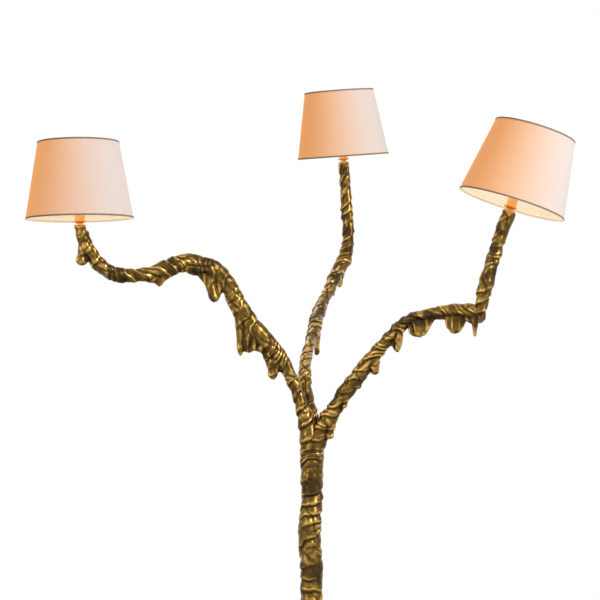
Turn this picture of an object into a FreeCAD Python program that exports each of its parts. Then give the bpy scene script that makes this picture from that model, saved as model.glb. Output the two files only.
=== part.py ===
"""Tree floor lamp in cast bronze: a trunk on a poured foot, three branches, and a shaded candle lamp on each branch.

Millimetres, +Z up. The origin is on the floor, on the trunk's axis. -Y is the front.
Every limb is given by stations: the centre of a cross-section and how wide and how deep it is there. The stations of
the crown and the branches are counted from the fork, which is the trunk's upper joint, so they rise and sink with it.
"""

import FreeCAD
import Part
import Sketcher
import math
import os
from FreeCAD import Placement, Rotation, Vector

os.makedirs("parts", exist_ok=True)
DOC = FreeCAD.newDocument("tree_lamp")
SHEET = DOC.addObject("Spreadsheet::Sheet", "Sizes")

# Driving dimensions: (alias, millimetres or degrees or a count, what it is).
SIZES = [
    ("fork_height", 840, "floor to the joint between trunk and crown"),
    ("trunk_diameter", 57, "mean outside diameter of the trunk"),
    ("trunk_bore", 34, "bore of the trunk castings"),
    ("trunk_split", 450, "floor to the joint in the middle of the trunk"),
    ("coupler_length", 80, "threaded tube that joins two trunk castings"),
    ("coupler_wall", 4, "its wall"),
    ("coupler_fit", 0.05, "radial clearance of coupler and dowel in their sockets"),
    ("grub_diameter", 6, "grub screw that locks a coupler"),
    ("grub_length", 9, "its length"),
    ("grub_offset", 20, "grub screw above and below each joint"),
    ("foot_radius", 190, "mean radius of the poured foot"),
    ("foot_height", 112, "floor to the joint between foot and trunk"),
    ("pocket_radius", 140, "recess under the foot"),
    ("pocket_depth", 18, "its depth"),
    ("hollow_radius", 52, "wiring space above the recess, at its mouth"),
    ("hollow_height", 40, "how far the wiring space narrows upwards"),
    ("pad_height", 4, "rubber sheet between the foot and the floor"),
    ("pad_edge", 172, "radius of the sheet"),
    ("screw_clearance", 0.25, "radial clearance of the plate's screws in plate and ballast"),
    ("plate_thickness", 2.5, "steel plate that closes the recess"),
    ("plate_gap", 0.4, "radial gap round plate and ballast"),
    ("ballast_thickness", 14, "cast iron ballast ring"),
    ("ballast_hole", 56, "radius of its hole"),
    ("plate_screw_radius", 2.5, "shank radius of the plate's screws"),
    ("plate_screw_circle", 100, "radius of the circle they lie on"),
    ("plate_screw_grip", 8, "thread length in the foot"),
    ("plate_screw_count", 4, "screws that hold the plate"),
    ("bush_bore", 7.5, "bore of the mains inlet bush"),
    ("bush_outer", 12, "outside diameter of the bush"),
    ("bush_flange", 17, "diameter of its flange"),
    ("bush_flange_depth", 2.5, "thickness of its flange"),
    ("bush_length", 18, "length of the bush behind its flange"),
    ("bush_height", 13.5, "height of the bush's axis above the floor"),
    ("block_width", 30, "terminal block, across"),
    ("block_depth", 18, "terminal block, front to back"),
    ("block_height", 12, "terminal block, tall"),
    ("block_front", 20, "front face of the block behind the trunk's axis"),
    ("block_pitch", 9, "spacing of the block's ways"),
    ("branch_wall", 6, "wall of the hollow branch castings"),
    ("wire_diameter", 5, "sheathed lamp wire"),
    ("wire_passage", 10, "least diameter of the way a wire runs through"),
    ("wire_ring", 6, "wires stand this far off the trunk's axis"),
    ("dowel_outer", 16, "hollow dowel that joins a branch to the crown"),
    ("dowel_length", 36, "its length"),
    ("joint_run", 21, "a wire runs straight this far on both sides of a dowel joint"),
    ("nipple_outer", 10, "threaded tube that carries a lampholder"),
    ("nipple_bore", 8, "its bore"),
    ("nipple_depth", 14, "thread length in the branch's tip"),
    ("nipple_reach", 50, "how far it stands out of the tip"),
    ("collar_radius", 14, "brass collar on the branch's tip"),
    ("collar_height", 2, "its height"),
    ("neck_radius", 7, "narrow neck of the drip pan"),
    ("neck_height", 4, "its height"),
    ("pan_radius", 17, "rim of the drip pan"),
    ("pan_height", 5.5, "height of the pan over its neck"),
    ("sleeve_outer", 24, "candle sleeve"),
    ("sleeve_wall", 1.2, "its wall"),
    ("sleeve_height", 72, "its height"),
    ("sleeve_sink", 3, "how deep the sleeve stands in the pan"),
    ("holder_radius", 10.3, "lampholder body inside the sleeve"),
    ("holder_drop", 40, "how far the body reaches down into the sleeve"),
    ("holder_floor", 17, "bottom of the socket below the flange's underside"),
    ("flange_radius", 16.5, "lampholder flange over the sleeve"),
    ("flange_thickness", 2.6, "its thickness"),
    ("skirt_radius", 14, "threaded skirt above the flange"),
    ("skirt_height", 17, "its height"),
    ("socket_radius", 8.75, "inside of the socket"),
    ("contact_height", 4, "centre contact over the floor of the socket"),
    ("shell_height", 18.5, "height of the screw shell"),
    ("cap_radius", 6.95, "thread radius of the lamp cap"),
    ("cap_fit", 0.08, "radial clearance between cap and shell"),
    ("cap_length", 31, "lamp cap over its contact"),
    ("cap_skirt", 8.4, "radius of the cap's upper skirt"),
    ("cap_wall", 0.6, "wall of the lamp cap"),
    ("contact_radius", 2.4, "contact under the lamp cap"),
    ("contact_gap", 0.3, "gap between the two contacts"),
    ("bulb_radius", 17.5, "widest radius of the glass"),
    ("bulb_length", 80, "length of the glass"),
    ("bulb_sink", 7, "how deep the glass sits in the cap"),
    ("stem_disc", 1.5, "disc under the glass that carries the stem"),
    ("glass_wall", 0.9, "wall of the glass"),
    ("filament_length", 34, "length of a filament rod"),
    ("ring_outer", 20.5, "retaining ring that clamps the shade"),
    ("ring_height", 7, "its height"),
    ("ring_fit", 0.06, "radial clearance of the ring on the skirt"),
    ("face_gap", 0.2, "running gap between turning faces"),
    ("fitter_inner", 14.75, "hole of the shade's centre plate"),
    ("fitter_outer", 24.5, "outside radius of the centre plate"),
    ("fitter_thickness", 1.6, "its thickness"),
    ("shade_lower", 132, "outside radius of the shade at its lower edge"),
    ("shade_upper", 99.5, "outside radius of the shade at its upper edge"),
    ("shade_height", 189, "height of the shade along its axis"),
    ("shade_lift", 17, "branch's tip to the shade's lower edge"),
    ("shade_wall", 1.0, "laminated fabric and liner"),
    ("shade_wire", 3, "diameter of the shade's wires"),
    ("shade_arms", 3, "arms of the shade's spider"),
    ("trim_width", 5, "folded trim tape on both edges"),
    ("trim_thickness", 0.8, "its thickness"),
    ("trim_gap", 0.05, "glue line under the trim"),
]
# Sizes that follow from the ones above: the bush's seat, and heights along a candle, counted from the branch's tip.
FOLLOWING = [
    ("bush_seat", "=foot_radius - 9", "flat seat of the bush, from the trunk's axis"),
    ("pan_top", "=collar_height + neck_height + pan_height", "rim of the drip pan"),
    ("sleeve_low", "=pan_top - sleeve_sink", "lower end of the candle sleeve"),
    ("flange_low", "=sleeve_low + sleeve_height", "underside of the lampholder's flange"),
    ("flange_top", "=flange_low + flange_thickness", "its upper side"),
    ("skirt_top", "=flange_top + skirt_height", "upper end of the threaded skirt"),
    ("socket_floor", "=flange_low - holder_floor", "floor of the socket"),
    ("contact_top", "=socket_floor + contact_height", "top of the centre contact"),
    ("cap_low", "=contact_top + contact_gap", "contact of the bulb"),
    ("cap_top", "=cap_low + cap_length", "upper rim of the bulb's cap"),
    ("glass_low", "=cap_top - bulb_sink", "lower end of the glass"),
    ("fitter_low", "=flange_top + face_gap", "underside of the shade's centre plate"),
    ("fitter_top", "=fitter_low + fitter_thickness", "its upper side"),
    ("ring_low", "=fitter_top + face_gap", "underside of the retaining ring"),
    ("ring_top", "=ring_low + ring_height", "its upper side"),
]
for row, (alias, value, meaning) in enumerate(SIZES + FOLLOWING, start=1):
    SHEET.set(f"A{row}", meaning)
    SHEET.set(f"B{row}", str(value))
    SHEET.setAlias(f"B{row}", alias)
DOC.recompute()


def size(alias):
    """The number in the sheet's cell of that alias."""
    return float(SHEET.get(alias))


# Stations (x, y, z, wide, deep). The trunk's are counted from the floor, all others from the fork.
UPPER_TRUNK_STATIONS = [
    (2, 0, 530, 58, 56),
    (-2, 1, 600, 60, 57),
    (-2, 0, 655, 58, 58),
    (1, -1, 710, 55, 56),
    (2, 0, 770, 57, 56),
]
LOWER_TRUNK_STATIONS = [
    (1, 1, 170, 60, 60),
    (-2, -1, 235, 55, 57),
    (1, 0, 305, 59, 56),
    (-1, 1, 380, 56, 58),
]
FORK_STATION = (2, 0, 0, 59, 58)
LEFT_ROOT = [(-6, -1, 52, 52, 52), (-21, -3, 110, 38, 38)]
LEFT_BRANCH = [
    (-49, -11, 190, 34, 34),
    (-70, -18, 231, 39, 37),
    (-98, -28, 267, 44, 38),
    (-133, -39, 305, 50, 40),
    (-163, -49, 341, 49, 38),
    (-190, -57, 390, 45, 38),
    (-214, -66, 435, 43, 37),
    (-246, -77, 468, 45, 38),
    (-288, -91, 482, 47, 38),
    (-330, -106, 483, 44, 38),
    (-371, -120, 468, 39, 37),
    (-408, -133, 457, 33, 33),
    (-446, -146, 452, 36, 35),
    (-487, -160, 455, 38, 36),
    (-520, -172, 474, 35, 34),
    (-543, -181, 503, 31, 31),
    (-559, -187, 535, 31, 31),
]
LEFT_TIP = (-570, -190, 573, 30, 30)
CENTRE_ROOT = [(6, 8, 52, 50, 50), (-4, 22, 112, 36, 36)]
CENTRE_BRANCH = [
    (-15, 62, 187, 32, 33),
    (-14, 104, 226, 30, 32),
    (-4, 160, 268, 29, 31),
    (9, 225, 309, 33, 33),
    (20, 294, 351, 38, 36),
    (36, 360, 394, 32, 33),
    (60, 420, 438, 36, 35),
    (81, 472, 484, 37, 36),
    (103, 508, 525, 42, 38),
    (112, 523, 571, 34, 34),
    (111, 527, 625, 35, 34),
    (107, 524, 685, 34, 34),
    (103, 518, 735, 32, 32),
]
CENTRE_TIP = (99, 509, 803, 31, 31)
RIGHT_ROOT = [(16, -3, 40, 54, 50), (36, -11, 76, 46, 44)]
RIGHT_BRANCH = [
    (59, -24, 111, 41, 38),
    (89, -41, 158, 41, 37),
    (112, -55, 189, 40, 36),
    (134, -68, 219, 38, 35),
    (156, -81, 248, 36, 34),
    (178, -95, 276, 34, 33),
    (203, -110, 306, 31, 31),
    (228, -125, 331, 28, 30),
    (255, -142, 347, 27, 29),
    (286, -161, 355, 27, 29),
    (319, -182, 362, 28, 30),
    (351, -203, 366, 31, 31),
    (377, -219, 365, 35, 32),
    (399, -234, 362, 33, 31),
]
RISER = [
    (407, -240, 334, 18, 16),
    (409, -240, 352, 27, 25),
    (412, -240, 378, 31, 30),
    (423, -240, 425, 37, 35),
    (435, -240, 470, 33, 33),
    (446, -240, 503, 36, 34),
    (458, -240, 544, 32, 32),
    (469, -240, 577, 34, 33),
]
RIGHT_TIP = (480, -240, 605, 34, 34)

# Frozen drips (x, y, z of the root, x and z of the end, wide at the root, wide at the end, deep), from the fork.
LEFT_DRIPS = [
    (-560, -186, 545, -564, 480, 24, 23, 24),
    (-371, -120, 458, -381, 426, 26, 10, 20),
    (-264, -83, 470, -244, 387, 46, 32, 24),
    (-226, -70, 450, -229, 412, 46, 34, 18),
    (-186, -56, 375, -180, 250, 26, 18, 20),
    (-150, -44, 312, -158, 257, 36, 20, 20),
    (-106, -30, 268, -98, 188, 36, 25, 22),
]
CENTRE_DRIPS = [
    (114, 526, 628, 132, 598, 18, 7, 14),
    (96, 488, 505, 86, 437, 22, 17, 18),
    (66, 425, 448, 62, 408, 28, 19, 20),
    (10, 296, 362, -3, 336, 24, 10, 18),
    (20, 236, 312, 17, 245, 20, 17, 18),
]
RIGHT_DRIPS = [
    (94, -43, 162, 82, 114, 34, 19, 24),
    (122, -62, 202, 116, 166, 36, 21, 24),
    (161, -84, 252, 161, 202, 36, 23, 24),
    (224, -122, 330, 214, 258, 42, 16, 20),
    (270, -151, 352, 264, 301, 60, 30, 18),
    (349, -202, 365, 352, 309, 56, 28, 18),
    (396, -232, 360, 397, 299, 26, 11, 15),
]
CROWN_DRIPS = [(50, -19, 84, 46, 34, 34, 24, 24)]

# Root ridges of the foot: bearing in degrees, and how far each runs from the trunk's axis.
FOOT_ROOTS = [(20, 168), (92, 150), (158, 172), (215, 160), (268, 174), (322, 162)]

LAMPS = ("left", "centre", "right")
TIPS = {"left": LEFT_TIP, "centre": CENTRE_TIP, "right": RIGHT_TIP}
# How each candle leans, in degrees: to the right, and towards the front.
LEANS = {"left": (-1.2, 0), "centre": (-4.1, 6), "right": (18, 0)}

# Each branch's root in the crown, and its own stations.
GROWTH = {
    "left": (LEFT_ROOT, LEFT_BRANCH),
    "centre": (CENTRE_ROOT, CENTRE_BRANCH),
    "right": (RIGHT_ROOT, RIGHT_BRANCH),
}

UP = Vector(0, 0, 1)
BACKWARDS = Vector(0, 1, 0)
OUTLINE_SIDES = 8
OUTLINE_WAVES = 3
OUTLINE_LUMP = 0.05
OUTLINE_TURN = 50
CUT_OVERRUN = 2.0
LOFT_DEGREE = 3
SPARE_CELL = "D1"
STRAIGHT_ENOUGH = 0.001
SHEET_NAME = "Sizes."
NODES = []


def from_fork(station):
    """A station that is counted from the fork, counted from the floor instead."""
    x, y, z, wide, deep = station
    return (x, y, z + size("fork_height"), wide, deep)


def centre_of(station):
    """The centre of a station's cross-section."""
    return Vector(*station[:3])


def lamp_axis(lamp):
    """The direction in which a candle points."""
    side, front = (math.radians(angle) for angle in LEANS[lamp])
    return Vector(math.tan(side), -math.tan(front), 1).normalize()


def lamp_place(lamp):
    """The placement of a lamp's pieces: their origin is the centre of the branch's tip, their Z the candle's axis."""
    return Placement(centre_of(from_fork(TIPS[lamp])), Rotation(UP, lamp_axis(lamp)))


# Organic castings.


def outline(centre, across, inwards, wide, deep, phase, lump=OUTLINE_LUMP):
    """A closed, slightly lumpy oval round centre, as one periodic spline."""
    points = []
    for i in range(OUTLINE_SIDES):
        angle = 2 * math.pi * i / OUTLINE_SIDES
        swell = 1 + lump * math.cos(OUTLINE_WAVES * angle + math.radians(phase))
        aside = across * (wide / 2 * swell * math.cos(angle))
        points.append(centre + aside + inwards * (deep / 2 * swell * math.sin(angle)))
    curve = Part.BSplineCurve()
    curve.interpolate(points, PeriodicFlag=True)
    return Part.Wire([curve.toShape()])


def loft(wires):
    """A smooth solid through closed outlines."""
    return Part.makeLoft(wires, True, False, False, LOFT_DEGREE)


def tangents(centres, last=None):
    """The direction of travel at each centre. The last one can be given."""
    found = []
    for i in range(len(centres)):
        before, after = centres[max(i - 1, 0)], centres[min(i + 1, len(centres) - 1)]
        found.append((after - before).normalize())
    if last is not None:
        found[-1] = last
    return found


def limb(stations, first=None, last=None, lump=OUTLINE_LUMP):
    """A solid through all stations, each cut square to the direction of travel."""
    directions = tangents([centre_of(s) for s in stations], last)
    if first is not None:
        directions[0] = first
    wires = []
    for i, (station, along) in enumerate(zip(stations, directions)):
        across = BACKWARDS.cross(along).normalize()
        phase = OUTLINE_TURN * i
        inwards = along.cross(across)
        wires.append(outline(centre_of(station), across, inwards, *station[3:], phase, lump))
    return loft(wires)


def hollow(stations, first_direction, end=None):
    """The inside of a hollow limb: a round way that leaves the wall all along and is narrow at its ends."""
    narrow = size("wire_passage")
    bore = []
    for i, (x, y, z, wide, deep) in enumerate(stations):
        clear = max(narrow, min(wide, deep) - 2 * size("branch_wall"))
        last = i == len(stations) - 1 and end is None
        bore.append((x, y, z, narrow, narrow) if i == 0 or last else (x, y, z, clear, clear))
    if end is not None:
        bore.append((*end, size("nipple_bore"), size("nipple_bore")))
    return limb(bore, first=first_direction, lump=0)


def drip(root_x, root_y, root_z, end_x, end_z, root_wide, end_wide, deep, bearing):
    """A frozen drip that hangs from a limb: a flat root, a slimmer waist and a round end."""
    across = Vector(math.cos(math.radians(bearing)), math.sin(math.radians(bearing)), 0)
    inwards = UP.cross(across)
    waist = 0.5 * (root_wide + end_wide) * 0.82
    # (share of the way down, wide, deep)
    levels = [
        (0.0, root_wide * 0.8, deep * 0.8),
        (0.35, waist * 1.1, deep * 0.85),
        (0.65, waist * 0.9, deep * 0.75),
        (0.86, end_wide, deep * 0.8),
        (0.96, end_wide * 0.72, deep * 0.58),
        (1.0, end_wide * 0.3, deep * 0.24),
    ]
    wires = []
    for share, wide, thick in levels:
        x = root_x + (end_x - root_x) * share
        z = root_z + (end_z - root_z) * share + size("fork_height")
        wires.append(outline(Vector(x, root_y, z), across, inwards, wide, thick, 0, 0))
    return loft(wires)


def drips(rows, bearing):
    """All the drips of one limb."""
    return [drip(*row, bearing) for row in rows]


def rounded_path(points):
    """Straight runs through the points, joined by tangent arcs as large as the runs beside them allow."""
    edges, start = [], points[0]
    for before, corner, after in zip(points, points[1:], points[2:]):
        towards, onwards = (before - corner), (after - corner)
        reach = 0.45 * min(towards.Length, onwards.Length)
        half_turn = (math.pi - towards.getAngle(onwards)) / 2
        if half_turn < STRAIGHT_ENOUGH:
            continue
        radius = reach / math.tan(half_turn)
        towards.normalize()
        onwards.normalize()
        enter, leave = corner + towards * reach, corner + onwards * reach
        bisector = (towards + onwards).normalize()
        middle = corner + bisector * (radius / math.cos(half_turn) - radius)
        edges.append(Part.LineSegment(start, enter).toShape())
        edges.append(Part.Arc(enter, middle, leave).toShape())
        start = leave
    edges.append(Part.LineSegment(start, points[-1]).toShape())
    return Part.Wire(edges)


def tube(points, diameter):
    """A round solid along a rounded path."""
    path = rounded_path(points)
    ring = Part.Wire([Part.makeCircle(diameter / 2, points[0], points[1] - points[0])])
    return path.makePipeShell([ring], True, False)


def rod(radius, start, direction, length):
    """A plain round rod."""
    return Part.makeCylinder(radius, length, start, direction)


def casting(label, outside, cuts):
    """A cast piece: the outside shapes run together, less what is cut out of them. It has to come out whole."""
    shape = outside[0].fuse(outside[1:]) if len(outside) > 1 else outside[0]
    shape = shape.cut(cuts) if cuts else shape
    if len(shape.Solids) != 1:
        raise ValueError(f"{label} came out as {len(shape.Solids)} solids")
    return feature(label, shape.Solids[0])


# Ways of adding a piece to the document.


def feature(label, shape, place=None):
    """A piece whose form is worked out from the sheet's numbers."""
    piece = DOC.addObject("Part::Feature", label)
    piece.Shape = shape
    if place is not None:
        piece.Placement = place.multiply(piece.Placement)
    NODES.append(piece)
    return piece


def group(label, solids):
    """Several equal fasteners as one piece."""
    return feature(label, Part.makeCompound(solids))


def bound(kind, name, **properties):
    """A Part primitive whose properties follow expressions of the sheet's aliases."""
    primitive = DOC.addObject(kind, name)
    for key, expression in properties.items():
        primitive.setExpression(key, worded(expression))
    return primitive


def worded(expression):
    """An expression with each alias led by the sheet's name."""
    names = {alias for alias, _, _ in SIZES + FOLLOWING}
    words, word = [], ""
    for letter in expression + " ":
        if letter.isalnum() or letter == "_":
            word += letter
            continue
        words.append(SHEET_NAME + word if word in names else word)
        words.append(letter)
        word = ""
    return "".join(words).strip()


def value_of(expression):
    """What an expression of the sheet's aliases comes to, worked out in a spare cell."""
    SHEET.set(SPARE_CELL, "=" + expression)
    SHEET.recompute()
    return float(SHEET.get(SPARE_CELL))


def turned(label, corners, place=None, node=True):
    """A body turned about its own Z axis. Corners are (radius, height) expressions, in order round the profile."""
    body = DOC.addObject("PartDesign::Body", label)
    sketch = body.newObject("Sketcher::SketchObject", label + "_profile")
    plane = [f for f in body.Origin.OriginFeatures if f.Role == "XZ_Plane"][0]
    sketch.AttachmentSupport = [(plane, "")]
    sketch.MapMode = "FlatFace"
    at = [Vector(value_of(r), value_of(z), 0) for r, z in corners]
    count = len(at)
    for i in range(count):
        sketch.addGeometry(Part.LineSegment(at[i], at[(i + 1) % count]))
    for i in range(count):
        sketch.addConstraint(Sketcher.Constraint("Coincident", i, 2, (i + 1) % count, 1))
    axes = (("DistanceX", -2), ("DistanceY", -1))
    for i, corner in enumerate(corners):
        for (kind, axis), expression, distance in zip(axes, corner, at[i]):
            if expression == "0":
                sketch.addConstraint(Sketcher.Constraint("PointOnObject", i, 1, axis))
                continue
            number = sketch.addConstraint(Sketcher.Constraint(kind, -1, 1, i, 1, distance))
            sketch.setExpression(f"Constraints[{number}]", worded(expression))
    turn = body.newObject("PartDesign::Revolution", label + "_turn")
    turn.Profile = sketch
    turn.ReferenceAxis = (sketch, ["V_Axis"])
    turn.Angle = 360
    if place is not None:
        body.Placement = place
    if node:
        NODES.append(body)
    return body


# Wires.

WIRE_BEARINGS = {"left": 200, "centre": 90, "right": -20}
WIRE_WAYS = {"left": -1, "centre": 0, "right": 1}
ELBOW = [(401, -235, 363), (412, -240, 380)]


def wire_seat(lamp, z):
    """Where a lamp's wire runs in the trunk, at height z."""
    bearing = math.radians(WIRE_BEARINGS[lamp])
    return Vector(size("wire_ring") * math.cos(bearing), size("wire_ring") * math.sin(bearing), z)


def crown_route(lamp, root, branch):
    """The wire's way through the crown, from the top of the trunk's bore straight through the branch's dowel."""
    socket_top = size("fork_height") + size("coupler_length") / 2
    way = [wire_seat(lamp, socket_top - 25), wire_seat(lamp, socket_top)]
    way += [centre_of(from_fork(s)) for s in root[1:]]
    middle, direction = centre_of(from_fork(branch[0])), joint_direction(root, branch)
    return way + [middle + direction * (side * size("joint_run")) for side in (-1, 1)]


def branch_centres(lamp):
    """The wire's way through the branch, from behind its dowel to its tip."""
    if lamp == "right":
        through = [Vector(*s[:3]) for s in RIGHT_BRANCH[1:-1]] + [Vector(*p) for p in ELBOW]
        through += [Vector(*s[:3]) for s in RISER[3:]]
    else:
        through = [Vector(*s[:3]) for s in {"left": LEFT_BRANCH, "centre": CENTRE_BRANCH}[lamp][1:]]
    return [p + UP * size("fork_height") for p in through]


def lamp_wire(lamp, root, branch):
    """A sheathed wire from the terminal block in the foot to the lampholder's socket."""
    way = WIRE_WAYS[lamp] * size("block_pitch")
    seat = wire_seat(lamp, 0)
    block_z = size("pad_height") + size("plate_thickness") + size("block_height") / 2
    low = [
        Vector(way, size("block_front"), block_z),
        Vector(way, size("block_front") - 12, block_z),
        Vector((way + seat.x) / 2, seat.y - 4, block_z + 16),
        wire_seat(lamp, size("foot_height") - size("coupler_length") / 2),
    ]
    tip, axis = centre_of(from_fork(TIPS[lamp])), lamp_axis(lamp)
    top = [tip - axis * size("nipple_depth"), tip + axis * (size("nipple_reach") + 3)]
    route = low + crown_route(lamp, root, branch) + branch_centres(lamp) + top
    return tube(route, size("wire_diameter"))


# The castings.


def joint_direction(root, branch):
    """The direction of a branch where it meets the crown."""
    return (centre_of(branch[1]) - centre_of(root[-1])).normalize()


def tip_cuts(lamp):
    """The threaded hole in a branch's tip."""
    tip, axis = centre_of(from_fork(TIPS[lamp])), lamp_axis(lamp)
    depth = size("nipple_depth") + CUT_OVERRUN
    return rod(size("nipple_outer") / 2, tip - axis * depth, axis, depth + CUT_OVERRUN)


def dowel_socket(joint, direction, inwards):
    """Half of a dowel's socket: on the branch's side of the joint, or on the crown's side if inwards is -1."""
    start = centre_of(from_fork(joint)) - direction * (CUT_OVERRUN * inwards)
    depth = size("dowel_length") / 2 + CUT_OVERRUN
    return rod(size("dowel_outer") / 2 + size("coupler_fit"), start, direction * inwards, depth)


def make_branch(label, lamp, root, stations, drip_rows, bearing):
    """A hollow branch with its drips, from its joint on the crown to its tip."""
    direction = joint_direction(root, stations)
    whole = [from_fork(s) for s in stations] + [from_fork(TIPS[lamp])]
    outside = limb(whole, first=direction, last=lamp_axis(lamp))
    inner_end = centre_of(whole[-1]) - lamp_axis(lamp) * size("nipple_depth")
    inside = hollow(whole[:-1], direction, inner_end)
    cuts = [inside, dowel_socket(stations[0], direction, 1), tip_cuts(lamp)]
    return casting(label, [outside, *drips(drip_rows, bearing)], cuts)


def make_right_branch():
    """The right branch stops at the riser, which is a twig of its own; its spike hangs beside the riser's foot."""
    direction = joint_direction(RIGHT_ROOT, RIGHT_BRANCH)
    stations = [from_fork(s) for s in RIGHT_BRANCH]
    elbow = [Vector(*p) + UP * size("fork_height") for p in ELBOW]
    riser_stations = [from_fork(s) for s in RISER] + [from_fork(RIGHT_TIP)]
    riser = limb(riser_stations, first=UP, last=lamp_axis("right"))
    inner_end = centre_of(riser_stations[-1]) - lamp_axis("right") * size("nipple_depth")
    upwards = [centre_of(s) for s in riser_stations[3:5]]
    passage = tube([centre_of(stations[-3]), *elbow, *upwards], size("wire_passage"))
    inside = hollow(riser_stations[3:-1], (upwards[1] - upwards[0]).normalize(), inner_end)
    casting("riser_right", [riser], [inside, passage, tip_cuts("right")])
    reach = (*(centre_of(stations[-1]) + Vector(9, -5, -1)), 27, 25)
    outside = limb([*stations, reach], first=direction)
    cuts = [hollow(stations[:-1], direction), passage, dowel_socket(RIGHT_BRANCH[0], direction, 1), riser]
    casting("branch_right", [outside, *drips(RIGHT_DRIPS, -30)], cuts)


def make_crown():
    """The knot where the trunk divides: three roots that grow out of one round joint."""
    fork = from_fork(FORK_STATION)
    outside, cuts = [], [coupler_socket(size("fork_height"), 1)]
    for lamp, (root, branch) in GROWTH.items():
        direction = joint_direction(root, branch)
        stations = [fork, *(from_fork(s) for s in root), from_fork(branch[0])]
        outside.append(limb(stations, first=UP, last=direction))
        cuts.append(tube(crown_route(lamp, root, branch), size("wire_passage")))
        cuts.append(dowel_socket(branch[0], direction, -1))
    cuts.extend(grub_holes(size("fork_height"), (1,)))
    casting("crown", [*outside, *drips(CROWN_DRIPS, -20)], cuts)


def coupler_socket(joint_z, side):
    """The straight socket of a trunk coupler above (side 1) or below (side -1) a joint."""
    depth = size("coupler_length") / 2 + CUT_OVERRUN
    return rod(size("trunk_bore") / 2, Vector(0, 0, joint_z - CUT_OVERRUN * side), UP * side, depth)


def grub_holes(joint_z, sides):
    """Threaded holes at the back for the grub screws of one joint."""
    found = []
    for side in sides:
        start = Vector(0, size("trunk_bore") / 2 - CUT_OVERRUN, joint_z + side * size("grub_offset"))
        found.append(rod(size("grub_diameter") / 2, start, BACKWARDS, size("trunk_diameter")))
    return found


def make_trunk():
    """The two trunk castings, each a wavy tube with a straight bore."""
    trunk, bore = size("trunk_diameter"), size("trunk_bore") / 2
    joints = [(0, 0, size(name), trunk, trunk) for name in ("foot_height", "trunk_split")]
    lower = [joints[0], *LOWER_TRUNK_STATIONS, joints[1]]
    upper = [joints[1], *UPPER_TRUNK_STATIONS, from_fork(FORK_STATION)]
    for label, stations in (("trunk_lower", lower), ("trunk_upper", upper)):
        low, high = stations[0][2], stations[-1][2]
        outside = limb(stations, first=UP, last=UP)
        way = rod(bore, Vector(0, 0, low - CUT_OVERRUN), UP, high - low + 2 * CUT_OVERRUN)
        casting(label, [outside], [way, *grub_holes(low, (1,)), *grub_holes(high, (-1,))])


def foot_outline(z, radius):
    """The foot's uneven outline at one height: a puddle of metal with a few bays."""
    points, sides = [], 20
    unevenness = min(1.0, radius / size("foot_radius")) ** 2
    for i in range(sides):
        angle = 2 * math.pi * i / sides
        bays = 0.022 * math.cos(3 * angle + 0.6) + 0.018 * math.cos(5 * angle - 1.1)
        reach = radius * (1 + bays * unevenness)
        points.append(Vector(reach * math.cos(angle), reach * math.sin(angle), z))
    curve = Part.BSplineCurve()
    curve.interpolate(points, PeriodicFlag=True)
    return Part.Wire([curve.toShape()])


def foot_root(bearing, reach):
    """A ridge that runs down from the trunk and out over the foot."""
    outwards = Vector(math.cos(math.radians(bearing)), math.sin(math.radians(bearing)), 0)
    sideways = UP.cross(outwards)
    top, rim = size("foot_height"), size("pad_height")
    # (distance from the axis, height, wide, tall)
    line = [
        (14, top - 4, 18, 14),
        (30, top - 36, 24, 20),
        (62, rim + 48, 28, 24),
        (0.62 * reach, rim + 28, 26, 22),
        (0.85 * reach, rim + 17, 22, 16),
        (reach, rim + 11, 12, 8),
    ]
    centres = [outwards * distance + UP * z for distance, z, _, _ in line]
    wires = []
    for (_, _, wide, tall), centre, along in zip(line, centres, tangents(centres)):
        wires.append(outline(centre, sideways, along.cross(sideways), wide, tall, 0, 0))
    return loft(wires)


def make_foot():
    """The poured foot, with its recess, the wiring space, the bush's seat and the holes of the plate's screws."""
    under, radius, top = size("pad_height"), size("foot_radius"), size("foot_height")
    trunk = size("trunk_diameter") / 2
    # (height, radius) up the foot's flare
    flare = [
        (under, radius - 5),
        (under + 7, radius),
        (under + 15, radius - 5),
        (under + 24, radius - 28),
        (under + 34, radius - 70),
        (under + 50, radius - 112),
        (under + 74, trunk + 18),
        (top, trunk),
    ]
    outside = [loft([foot_outline(z, r) for z, r in flare])]
    outside += [foot_root(bearing, reach) for bearing, reach in FOOT_ROOTS]
    ceiling = under + size("pocket_depth")
    neck = size("trunk_bore") / 2 - size("coupler_wall")
    below, inlet = Vector(0, 0, under - CUT_OVERRUN), Vector(0, 0, size("bush_height"))
    cuts = [
        rod(size("pocket_radius"), below, UP, size("pocket_depth") + CUT_OVERRUN),
        Part.makeCone(size("hollow_radius"), neck, size("hollow_height"), Vector(0, 0, ceiling)),
        rod(neck, Vector(0, 0, ceiling), UP, top - ceiling),
        coupler_socket(top, -1),
        *grub_holes(top, (-1,)),
        rod(radius, Vector(0, 0, top), UP, radius),
        rod(size("bush_outer") / 2, inlet + BACKWARDS * (size("pocket_radius") - 5), BACKWARDS, radius),
        rod(size("bush_flange") / 2 + 2, inlet + BACKWARDS * size("bush_seat"), BACKWARDS, radius),
    ]
    for x, y in circle_points(size("plate_screw_circle"), size("plate_screw_count"), 45):
        depth = size("plate_screw_grip") + 2
        start = Vector(x, y, ceiling - CUT_OVERRUN)
        cuts.append(rod(size("plate_screw_radius"), start, UP, depth + CUT_OVERRUN))
    casting("foot", outside, cuts)


def circle_points(radius, count, first_bearing):
    """Evenly spaced (x, y) round the trunk's axis."""
    found = []
    for i in range(int(count)):
        bearing = math.radians(first_bearing + 360 * i / int(count))
        found.append((radius * math.cos(bearing), radius * math.sin(bearing)))
    return found


# What is inside the foot and the trunk.


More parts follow.
